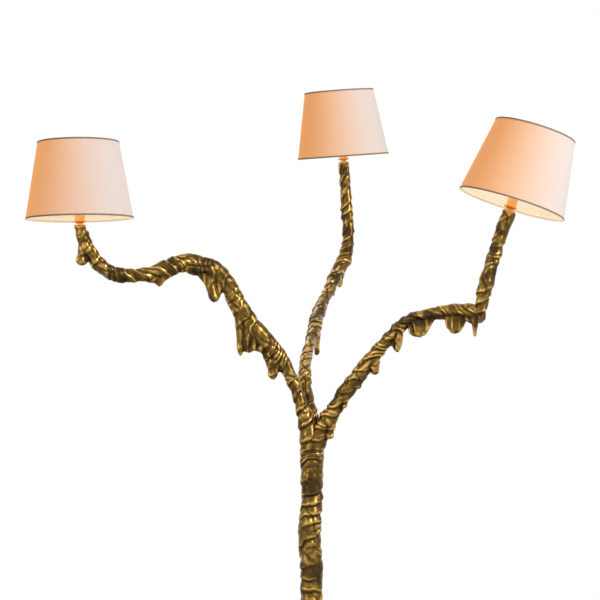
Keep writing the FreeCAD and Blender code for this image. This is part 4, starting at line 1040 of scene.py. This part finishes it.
class Effects:
    """Shader groups that several finishes use, each built once."""

    def __init__(self) -> None:
        """Builds the groups."""
        self.patina_and_shade = self.make_patina_and_shade()
        self.weave = self.make_weave()
        self.mottle = self.make_mottle()

    @staticmethod
    def make_patina_and_shade() -> Tree:
        """Dark patina and painted shade in hollows, dark patina in patches, rubbed metal and a painted
        highlight on ridges.

        Returns:
            The group.
        """
        colour, number = "NodeSocketColor", "NodeSocketFloat"
        inputs = [
            ("Cavity", number, 0.0),
            ("Hollow", number, 0.0),
            ("Bright", colour, (1, 1, 1, 1)),
            ("Body", colour, (0.5, 0.5, 0.5, 1)),
            ("Dark", colour, (0.1, 0.1, 0.1, 1)),
            ("Scale", number, 20.0),
        ]
        outputs = [("Colour", colour), ("Roughness", number), ("Metallic", number), ("Height", number)]
        w, given, out = open_group("patina_and_shade", "ShaderNodeTree", inputs, outputs)
        place = w.coordinate("Object")
        cloud = w.noise(place, given["Scale"], 4.0, 1.0, 0.6)
        fine = w.noise(place, w.times(given["Scale"], 9.0), 3.0, 2.0, 0.6)
        shift = w.times(w.math("SUBTRACT", cloud, 0.5), 0.5)
        cavity = w.total(given["Cavity"], shift)
        hollow = w.total(given["Hollow"], w.times(shift, 3.0))
        patch = w.spread(w.noise(place, w.times(given["Scale"], 0.8), 2.0, 9.0), 0.5, 0.62, 0.0, 0.85)
        # Painted shade: crease depth and broad hollows darken the colour, on top of the patina the real
        # bronze has there.
        painted_shade_in_hollows = w.math("MAXIMUM", w.spread(cavity, 0.0, 0.26), w.spread(hollow, 0.1, 1.7, 0.0, 0.9))
        dark = w.math("MAXIMUM", painted_shade_in_hollows, patch)
        # Painted highlight: convex ridges brighten towards the bright colour, on top of rubbed metal.
        ridge = w.spread(w.times(cavity, -1.0), 0.05, 0.36)
        mixed = w.blend(dark, w.blend(ridge, given["Body"], given["Bright"]), given["Dark"])
        tinted = w.blend(w.spread(fine, 0.35, 0.7, 0.0, 0.35), mixed, given["Body"])
        w.feed(out["Colour"], tinted)
        w.feed(out["Roughness"], w.total(w.times(dark, 0.12), w.times(fine, 0.12), 0.15))
        # Less metallic where darkened, so the painted shade stays dark.
        w.feed(out["Metallic"], w.math("SUBTRACT", 0.95, w.times(dark, 0.1)))
        w.feed(out["Height"], fine)
        return w.tree

    @staticmethod
    def make_weave() -> Tree:
        """Plain weave from the piece's own UV map, in metres: a height and a tint.

        Returns:
            The group.
        """
        number = "NodeSocketFloat"
        inputs = [("Warp", number, 1800.0), ("Weft", number, 1500.0), ("Slub", number, 0.5)]
        outputs = [("Height", number), ("Tint", number)]
        w, given, out = open_group("weave", "ShaderNodeTree", inputs, outputs)
        flat = w.node("ShaderNodeSeparateXYZ", {0: w.coordinate("UV")}).outputs
        turns = 2 * math.pi

        def thread(side: Socket, count: Socket) -> Socket:
            """Rounded threads side by side."""
            wave = w.math("SINE", w.times(w.times(side, count), turns))
            return w.math("MULTIPLY_ADD", wave, 0.5, 0.5)

        def slub(across: float, along: float, seed: float) -> Socket:
            """Thick places in the yarns of one direction."""
            pulled = {0: w.times(flat[0], across), 1: w.times(flat[1], along)}
            return w.noise(w.node("ShaderNodeCombineXYZ", pulled).outputs[0], 1.0, 3.0, seed)

        height = w.math("MAXIMUM", thread(flat[0], given["Warp"]), thread(flat[1], given["Weft"]))
        slubs = w.times(w.total(slub(420.0, 9.0, 4.0), slub(9.0, 420.0, 5.0)), 0.5)
        w.feed(out["Height"], w.math("MULTIPLY_ADD", slubs, given["Slub"], height))
        w.feed(out["Tint"], w.spread(slubs, 0.36, 0.64))
        return w.tree

    @staticmethod
    def make_mottle() -> Tree:
        """Fine uneven surface of moulded, turned or rolled stuff: a mask and a height.

        Returns:
            The group.
        """
        number = "NodeSocketFloat"
        inputs = [("Scale", number, 60.0), ("Stretch", number, 1.0)]
        outputs = [("Mask", number), ("Height", number)]
        w, given, out = open_group("mottle", "ShaderNodeTree", inputs, outputs)
        place = w.coordinate("Object")
        drawn = w.node("ShaderNodeCombineXYZ", {0: 1.0, 1: 1.0, 2: given["Stretch"]}).outputs[0]
        pulled = w.vector("MULTIPLY", {0: place, 1: drawn})
        cloud = w.noise(pulled, given["Scale"], 4.0, 6.0, 0.55)
        fine = w.noise(pulled, w.times(given["Scale"], 14.0), 2.0, 7.0, 0.6)
        w.feed(out["Mask"], w.spread(cloud, 0.32, 0.68))
        w.feed(out["Height"], fine)
        return w.tree


def new_material(name: str) -> tuple[Material, Wiring, bpy.types.Node]:
    """A material with only its main shader.

    Args:
        name: The material's name.

    Returns:
        The material, its wiring and its Principled shader.
    """
    material = bpy.data.materials.new(name)
    material.use_nodes = True
    w = Wiring(material.node_tree)
    shader = next(n for n in material.node_tree.nodes if n.type == "BSDF_PRINCIPLED")
    return material, w, shader


def bump(w: Wiring, shader: bpy.types.Node, height: Socket, strength: float, distance: float) -> None:
    """Feeds a height into the shader's normal."""
    node = w.node("ShaderNodeBump", {"Strength": strength, "Distance": distance, "Height": height})
    w.feed(shader.inputs["Normal"], node.outputs["Normal"])


@dataclass(frozen=True)
class BronzeWithPaintedShade:
    """Gilt bronze: patina and painted shade darken its folds, rubbed metal and a painted highlight
    brighten its ridges.
    """

    # bright is rubbed gilt with a painted highlight; dark is patina with painted shade.
    bright: Colour = (222, 176, 96)
    body: Colour = (106, 82, 34)
    dark: Colour = (44, 30, 14)
    scale: float = 24.0

    def make(self, effects: Effects) -> Material:
        """Builds the material.

        Args:
            effects: The shader groups.

        Returns:
            The material.
        """
        material, w, shader = new_material("gilt_bronze")
        values: dict[str, NodeValue] = {
            name: w.node("ShaderNodeAttribute", attribute_name=name.lower()).outputs["Fac"]
            for name in ("Cavity", "Hollow")
        }
        for name in ("Bright", "Body", "Dark"):
            values[name] = linear(*getattr(self, name.lower()))
        painted_shade_node = w.node("ShaderNodeGroup", {}, node_tree=effects.patina_and_shade)
        for key, value in {**values, "Scale": self.scale}.items():
            w.feed(painted_shade_node.inputs[key], value)
        w.feed(shader.inputs["Base Color"], painted_shade_node.outputs["Colour"])
        for key in ("Roughness", "Metallic"):
            w.feed(shader.inputs[key], painted_shade_node.outputs[key])
        bump(w, shader, painted_shade_node.outputs["Height"], 0.25, 0.0004)
        return material


@dataclass(frozen=True)
class Mottled:
    """Metal, plastic, rubber or glass with a fine uneven surface; a glow is the bulb's own light on
    filament and glass, painted bulb light elsewhere.
    """

    name: str
    first: Colour
    second: Colour
    metallic: float = 0.0
    roughness: tuple[float, float] = (0.3, 0.45)
    scale: float = 60.0
    stretch: float = 1.0
    strength: float = 0.15
    distance: float = 0.0002
    glow: Colour | None = None
    glow_strength: float = 0.0

    def make(self, effects: Effects) -> Material:
        """Builds the material.

        Args:
            effects: The shader groups.

        Returns:
            The material.
        """
        material, w, shader = new_material(self.name)
        mottle = w.node("ShaderNodeGroup", {}, node_tree=effects.mottle)
        w.feed(mottle.inputs["Scale"], self.scale)
        w.feed(mottle.inputs["Stretch"], self.stretch)
        mask = mottle.outputs["Mask"]
        colour = w.blend(mask, linear(*self.first), linear(*self.second))
        w.feed(shader.inputs["Base Color"], colour)
        w.feed(shader.inputs["Roughness"], w.spread(mask, 0, 1, *self.roughness))
        shader.inputs["Metallic"].default_value = self.metallic
        if self.glow is not None:
            shader.inputs["Emission Color"].default_value = linear(*self.glow)
            shader.inputs["Emission Strength"].default_value = self.glow_strength
        bump(w, shader, mottle.outputs["Height"], self.strength, self.distance)
        return material


@dataclass(frozen=True)
class Cloth:
    """Woven cloth; a glow is painted light from the bulb behind it, warm towards one side, where the
    base colour is painted warm too.
    """

    name: str
    pale: Colour
    deep: Colour
    painted_warm_base: Colour | None = None
    warp: float = 1500.0
    weft: float = 1300.0
    roughness: float = 0.85
    glow: Colour | None = None
    glow_warm: Colour | None = None
    glow_strength: float = 0.0
    thread: Colour = (150, 84, 40)
    round_edge: float = 0.132

    def make(self, effects: Effects) -> Material:
        """Builds the material.

        Args:
            effects: The shader groups.

        Returns:
            The material.
        """
        material, w, shader = new_material(self.name)
        weave = w.node("ShaderNodeGroup", {}, node_tree=effects.weave)
        w.feed(weave.inputs["Warp"], self.warp)
        w.feed(weave.inputs["Weft"], self.weft)
        shader.inputs["Roughness"].default_value = self.roughness
        plain = w.blend(weave.outputs["Tint"], linear(*self.deep), linear(*self.pale))
        if self.glow is not None:
            # Painted light: towards one bearing the glow and the base colour turn warm, towards the
            # other pale, for the bulb's light through the cloth and a lamp on the other side.
            around = w.node("ShaderNodeSeparateXYZ", {0: w.coordinate("UV")}).outputs[0]
            side = w.math("COSINE", w.math("DIVIDE", around, self.round_edge))
            painted_light_side = w.spread(side, -1.05, 1.05)
            lit = w.blend(painted_light_side, linear(*(self.glow_warm or self.glow)), linear(*self.glow))
            # Thicker yarns tint the painted glow towards the thread colour.
            yarn = w.spread(weave.outputs["Tint"], 0, 1, 0.0, 0.05)
            w.feed(shader.inputs["Emission Color"], w.blend(yarn, lit, linear(*self.thread)))
            shader.inputs["Emission Strength"].default_value = self.glow_strength
            plain = w.blend(painted_light_side, linear(*(self.painted_warm_base or self.pale)), plain)
        w.feed(shader.inputs["Base Color"], plain)
        bump(w, shader, weave.outputs["Height"], 0.25, 0.00025)
        return material


# On the lacquered brass, white plastic, candle cream and white wire the glow is painted light from the
# bulbs; on the filament and frosted glass it is the bulbs' own light.
FINISHES: tuple[Mottled, ...] = (
    Mottled("steel_tube", (150, 152, 154), (126, 128, 132), 0.9, (0.3, 0.45), 70, 0.1),
    Mottled("steel_plate", (132, 134, 138), (108, 110, 114), 0.85, (0.38, 0.55), 30),
    Mottled("ballast", (62, 60, 58), (44, 43, 42), 0.5, (0.6, 0.8), 90, 1, 0.5, 0.0008),
    Mottled("rubber", (38, 37, 36), (28, 27, 27), 0.0, (0.7, 0.9), 80, 1, 0.35, 0.0003),
    Mottled("black_plastic", (34, 34, 35), (26, 26, 27), 0.0, (0.35, 0.5), 120, 1, 0.2, 0.0001),
    Mottled("wire_sheath", (196, 186, 168), (178, 168, 150), 0.0, (0.45, 0.6), 160, 1, 0.2, 0.0001),
    Mottled("contact_brass", (206, 164, 92), (184, 142, 74), 0.9, (0.28, 0.4), 90),
    Mottled("nickel_cap", (196, 192, 184), (170, 166, 158), 0.9, (0.2, 0.34), 90, 0.2),
    Mottled(
        *("lacquered_brass", (226, 166, 84), (204, 142, 66), 0.85, (0.22, 0.34)),
        *(45, 1, 0.08, 0.0001, (232, 140, 54), 0.18),
    ),
    Mottled(
        *("white_plastic", (238, 228, 210), (228, 216, 196), 0.0, (0.3, 0.42)),
        *(60, 1, 0.08, 0.0001, (255, 196, 128), 0.2),
    ),
    Mottled(
        *("candle_cream", (240, 190, 122), (230, 172, 100), 0.0, (0.38, 0.5)),
        *(30, 0.3, 0.15, 0.0003, (236, 142, 62), 0.42),
    ),
    Mottled(
        *("filament", (255, 214, 140), (255, 196, 110), 0.0, (0.4, 0.5)),
        *(200, 1, 0.05, 0.0001, (255, 200, 120), 1.0),
    ),
    Mottled(
        *("white_wire", (240, 234, 224), (226, 220, 208), 0.0, (0.3, 0.42)),
        *(90, 1, 0.1, 0.0001, (255, 206, 150), 0.25),
    ),
    Mottled(
        *("frosted_glass", (255, 246, 228), (250, 238, 214), 0.0, (0.35, 0.5)),
        *(120, 1, 0.1, 0.0001, (255, 238, 208), 0.7),
    ),
)
# The fabric's glow and its warm side are painted bulb light.
FABRIC = Cloth(
    name="shade_fabric",
    pale=(230, 222, 216),
    deep=(222, 212, 204),
    painted_warm_base=(224, 176, 126),
    glow=(184, 166, 158),
    glow_warm=(242, 154, 76),
    glow_strength=0.58,
)
# The liner's glow is painted bulb light.
LINER = Cloth(
    name="shade_liner",
    pale=(240, 232, 218),
    deep=(232, 222, 206),
    warp=1200.0,
    weft=1200.0,
    roughness=0.7,
    glow=(255, 236, 206),
    glow_strength=0.4,
)
TAPE = Cloth("shade_trim", (178, 156, 134), (150, 130, 110), warp=2400.0, weft=2400.0, roughness=0.8)


# Shades.


@dataclass
class Shade:
    """One shade: the laminated cover and the tape folded over both of its edges."""

    lamp: Lamp
    lower: float = 132.0
    upper: float = 99.5
    height: float = 189.0
    lift: float = 17.0
    wall: float = 1.0
    tape_width: float = 3.4
    tape_thick: float = 0.8
    bevel: float = 0.35
    shoulder: float = 0.9
    ease: float = 0.3
    gap: float = 0.05
    seam_width: float = 12.0
    seam_step: float = 0.45
    sides: int = 180

    def radius(self, height: float) -> float:
        """The outside radius at a height over the lower edge."""
        return self.lower + (self.upper - self.lower) * height / self.height

    def turned(
        self, name: str, profiles: Sequence[Sequence[Row]], materials: Sequence[Material]
    ) -> Piece:
        """A piece turned about the candle's axis, with a UV map in metres.

        Args:
            name: The piece's name.
            profiles: Corners of closed profiles (radius, height, number of the next run's material).
            materials: The materials.

        Returns:
            The piece.
        """
        place = lamp_place(self.lamp)
        mesh_points, faces, slots, maps = [], [], [], []
        for profile in profiles:
            base, count = len(mesh_points), len(profile)
            for j in range(self.sides):
                bearing = 2 * math.pi * j / self.sides
                off = (bearing - math.pi / 2 + math.pi) % (2 * math.pi) - math.pi
                lapped = name.startswith("shade_cloth") and abs(off) * self.lower < self.seam_width / 2
                seam = self.seam_step if lapped else 0.0
                for radius, height, _ in profile:
                    outside = radius > self.radius(height - self.lift) - self.wall / 2
                    out = radius + (seam if outside else 0.0)
                    x, y = out * math.cos(bearing), out * math.sin(bearing)
                    mesh_points.append(place @ Vector((x, y, height)))
            for j in range(self.sides):
                a, b = base + j * count, base + (j + 1) % self.sides * count
                left, right = (2 * math.pi * turn / self.sides * self.lower * MM for turn in (j, j + 1))
                for i in range(count):
                    n = (i + 1) % count
                    faces.append((a + i, b + i, b + n, a + n))
                    slots.append(int(profile[i][2]))
                    low, high = (profile[i][1] - self.lift) * MM, (profile[n][1] - self.lift) * MM
                    if low == high:
                        high = low + (profile[n][0] - profile[i][0]) * MM
                    maps += [(left, low), (right, low), (right, high), (left, high)]
        piece = mesh_piece(name, [tuple(p) for p in mesh_points], faces)
        for material in materials:
            piece.data.materials.append(material)
        piece.data.polygons.foreach_set("material_index", slots)
        layer = piece.data.uv_layers.new(name="cloth")
        layer.data.foreach_set("uv", np.array(maps, np.float32).ravel())
        outwards(piece)
        return piece

    def cover(self, fabric: Material, liner: Material) -> None:
        """The fabric outside and the liner inside, with one overlapped seam at the back.

        Args:
            fabric: The cloth outside.
            liner: The lining inside.
        """
        rows = np.linspace(0, self.height, 16)
        profile = [(self.radius(h), self.lift + h, 0) for h in rows]
        profile[-1] = (*profile[-1][:2], 1)
        profile += [(self.radius(h) - self.wall, self.lift + h, 1) for h in rows[::-1]]
        piece = self.turned(f"shade_cloth_{self.lamp.value}", [profile], [fabric, liner])
        self.shade_smooth(piece, 40)
        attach(piece, f"shade_{self.lamp.value}")
        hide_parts(f"shade_cover_{self.lamp.value}")

    def tapes(self, tape: Material, lining: Material) -> None:
        """The tapes over both edges, with rounded folds, pale where they face down, up or in.

        Args:
            tape: The tape outside.
            lining: What shows on its other faces.
        """
        profiles = []
        for edge, sign in ((0.0, -1.0), (self.height, 1.0)):
            fold, reach = edge + sign * self.tape_thick, edge - sign * self.tape_width
            out = self.gap + self.tape_thick
            inn = -self.wall - self.gap - self.tape_thick
            hem, rim, top = (self.radius(height) for height in (reach, edge, fold))
            below, above = fold - sign * self.ease / 2, reach + sign * self.ease
            corners = [
                (hem + out - self.bevel, reach),
                (hem + out, above),
                (rim + out, edge),
                (top + out - self.bevel, below),
                (top + out - self.shoulder, fold),
                (top + inn + self.shoulder, fold),
                (top + inn + self.bevel, below),
                (rim + inn, edge),
                (hem + inn, above),
                (hem + inn + self.bevel, reach),
                (hem - self.wall - self.gap, reach),
                (rim - self.wall - self.gap, edge + sign * self.gap),
                (rim + self.gap, edge + sign * self.gap),
                (hem + self.gap, reach),
            ]
            profiles.append([(r, self.lift + h, int(4 <= i <= 9)) for i, (r, h) in enumerate(corners)])
        piece = self.turned(f"shade_tape_{self.lamp.value}", profiles, [tape, lining])
        self.shade_smooth(piece, 50)
        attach(piece, f"shade_{self.lamp.value}")
        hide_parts(f"shade_trims_{self.lamp.value}")

    @staticmethod
    def shade_smooth(piece: Piece, angle: float) -> None:
        """Smooth shading that keeps edges sharper than an angle."""
        smooth_faces(piece)
        piece.data.set_sharp_from_angle(angle=math.radians(angle))


# Pieces that keep their CAD shape.

CAD_FINISHES: dict[str, tuple[str, ...]] = {
    "steel_tube": ("trunk_couplers", "branch_dowels", "nipples"),
    "steel_plate": ("grub_screws", "plate_screws", "base_plate"),
    "ballast": ("ballast_ring",),
    "rubber": ("floor_pad",),
    "black_plastic": ("inlet_bush",),
    "white_plastic": ("terminal_block", "lampholder", "retaining_ring"),
    "wire_sheath": ("lamp_wires",),
    "lacquered_brass": ("tip_collars", "drip_pan"),
    "candle_cream": ("candle_sleeve",),
    "contact_brass": ("holder_contacts",),
    "frosted_glass": ("bulb_glass",),
    "filament": ("bulb_filaments",),
    "nickel_cap": ("bulb_cap",),
    "white_wire": ("shade_spider", "shade_lower_ring"),
}


def dress_cad(materials: dict[str, Material]) -> None:
    """Gives each CAD node that is still shown its finish.

    Args:
        materials: Every finish, by its name.
    """
    finish_of = {piece: finish for finish, pieces in CAD_FINISHES.items() for piece in pieces}
    for name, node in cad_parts.items():
        if node.hide_render:
            continue
        plain = name
        for lamp in Lamp:
            plain = plain.removesuffix("_" + lamp.value)
        node.data.materials.clear()
        node.data.materials.append(materials[finish_of[plain]])
        LOG.info("%s keeps its shape, finish %s", name, finish_of[plain])


# The studio.


@dataclass(frozen=True)
class Softbox:
    """A round lamp of the studio, aimed at the object. Sizes in metres."""

    name: str
    place: Row
    across: float
    power: float
    aim: Row = (0, 0, 1.1)

    def build(self) -> None:
        """Hangs the lamp."""
        data = bpy.data.lights.new(self.name, "AREA")
        data.shape, data.size, data.energy = "DISK", self.across, self.power
        light = bpy.data.objects.new(self.name, data)
        light.location = self.place
        towards = Vector(self.aim) - Vector(self.place)
        light.rotation_euler = towards.to_track_quat("-Z", "Y").to_euler()
        bpy.context.scene.collection.objects.link(light)


@dataclass
class Studio:
    """Camera, lights, floor and background. Sizes in metres."""

    eye: Row = (-0.0284, -4.0, 1.166)
    lens: float = 93.0
    tilt: float = 0.961
    grey: float = 0.24
    floor_radius: float = 2.1
    floor_tone: float = 0.82
    boxes: tuple[Softbox, ...] = (
        Softbox("key", (2.8, -2.7, 2.9), 2.0, 92.0),
        Softbox("fill", (-3.0, -2.4, 1.6), 2.4, 16.0),
        Softbox("back", (-0.6, 3.0, 3.2), 1.8, 14.0),
    )

    def build(self) -> None:
        """Builds everything round the object."""
        self.camera()
        for box in self.boxes:
            box.build()
        self.world()
        self.floor()
        bpy.context.scene.view_settings.view_transform = "Standard"

    def camera(self) -> None:
        """The camera stands level with the shades and looks slightly up."""
        data = bpy.data.cameras.new("camera")
        data.lens, data.sensor_width = self.lens, 36.0
        camera = bpy.data.objects.new("camera", data)
        camera.location = self.eye
        camera.rotation_euler = (math.radians(90 + self.tilt), 0, 0)
        bpy.context.scene.collection.objects.link(camera)
        bpy.context.scene.camera = camera

    def world(self) -> None:
        """White where it is seen or mirrored, and a plain grey light on the object."""
        world = bpy.data.worlds.new("studio")
        bpy.context.scene.world = world
        world.use_nodes = True
        w = Wiring(world.node_tree)
        background = next(n for n in world.node_tree.nodes if n.type == "BACKGROUND")
        path = w.node("ShaderNodeLightPath")
        mirrored = w.math("MAXIMUM", path.outputs["Is Glossy Ray"], path.outputs["Is Transmission Ray"])
        seen = w.math("MAXIMUM", path.outputs["Is Camera Ray"], mirrored)
        background.inputs["Color"].default_value = (1, 1, 1, 1)
        w.feed(background.inputs["Strength"], w.spread(seen, 0, 1, self.grey, 1.0))

    def floor(self) -> None:
        """A round pale floor that fades into the background at its rim."""
        angles = np.linspace(0, 2 * math.pi, 96, endpoint=False)
        ring = np.stack([np.cos(angles), np.sin(angles), np.zeros_like(angles)], axis=1)
        points = (ring * self.floor_radius / MM).tolist()
        piece = mesh_piece("floor", points, [tuple(range(len(points)))])
        material, w, shader = new_material("pale_floor")
        shader.inputs["Base Color"].default_value = (*[self.floor_tone] * 3, 1)
        shader.inputs["Roughness"].default_value = 0.9
        place = w.coordinate("Object")
        out = w.vector("LENGTH", {0: place}, "Value")
        fade = w.spread(out, 0.45 * self.floor_radius, self.floor_radius, 1.0, 0.0)
        w.feed(shader.inputs["Alpha"], fade)
        piece.data.materials.append(material)


def build_materials() -> dict[str, Material]:
    """Every finish, by its name.

    Returns:
        The materials.
    """
    effects = Effects()
    made = {finish.name: finish.make(effects) for finish in FINISHES}
    for cloth in (FABRIC, LINER, TAPE):
        made[cloth.name] = cloth.make(effects)
    made["gilt_bronze"] = BronzeWithPaintedShade().make(effects)
    return made


def main() -> None:
    """Builds the object's looks, piece by piece, and the studio."""
    logging.basicConfig(level=logging.INFO, format="%(message)s")
    Studio().build()
    materials = build_materials()
    Stand().build(materials["gilt_bronze"])
    for lamp in Lamp:
        shade = Shade(lamp)
        shade.cover(materials["shade_fabric"], materials["shade_liner"])
        shade.tapes(materials["shade_trim"], materials["shade_liner"])
        LOG.info("shade %s", lamp.value)
    dress_cad(materials)


if __name__ == "__main__":
    main()
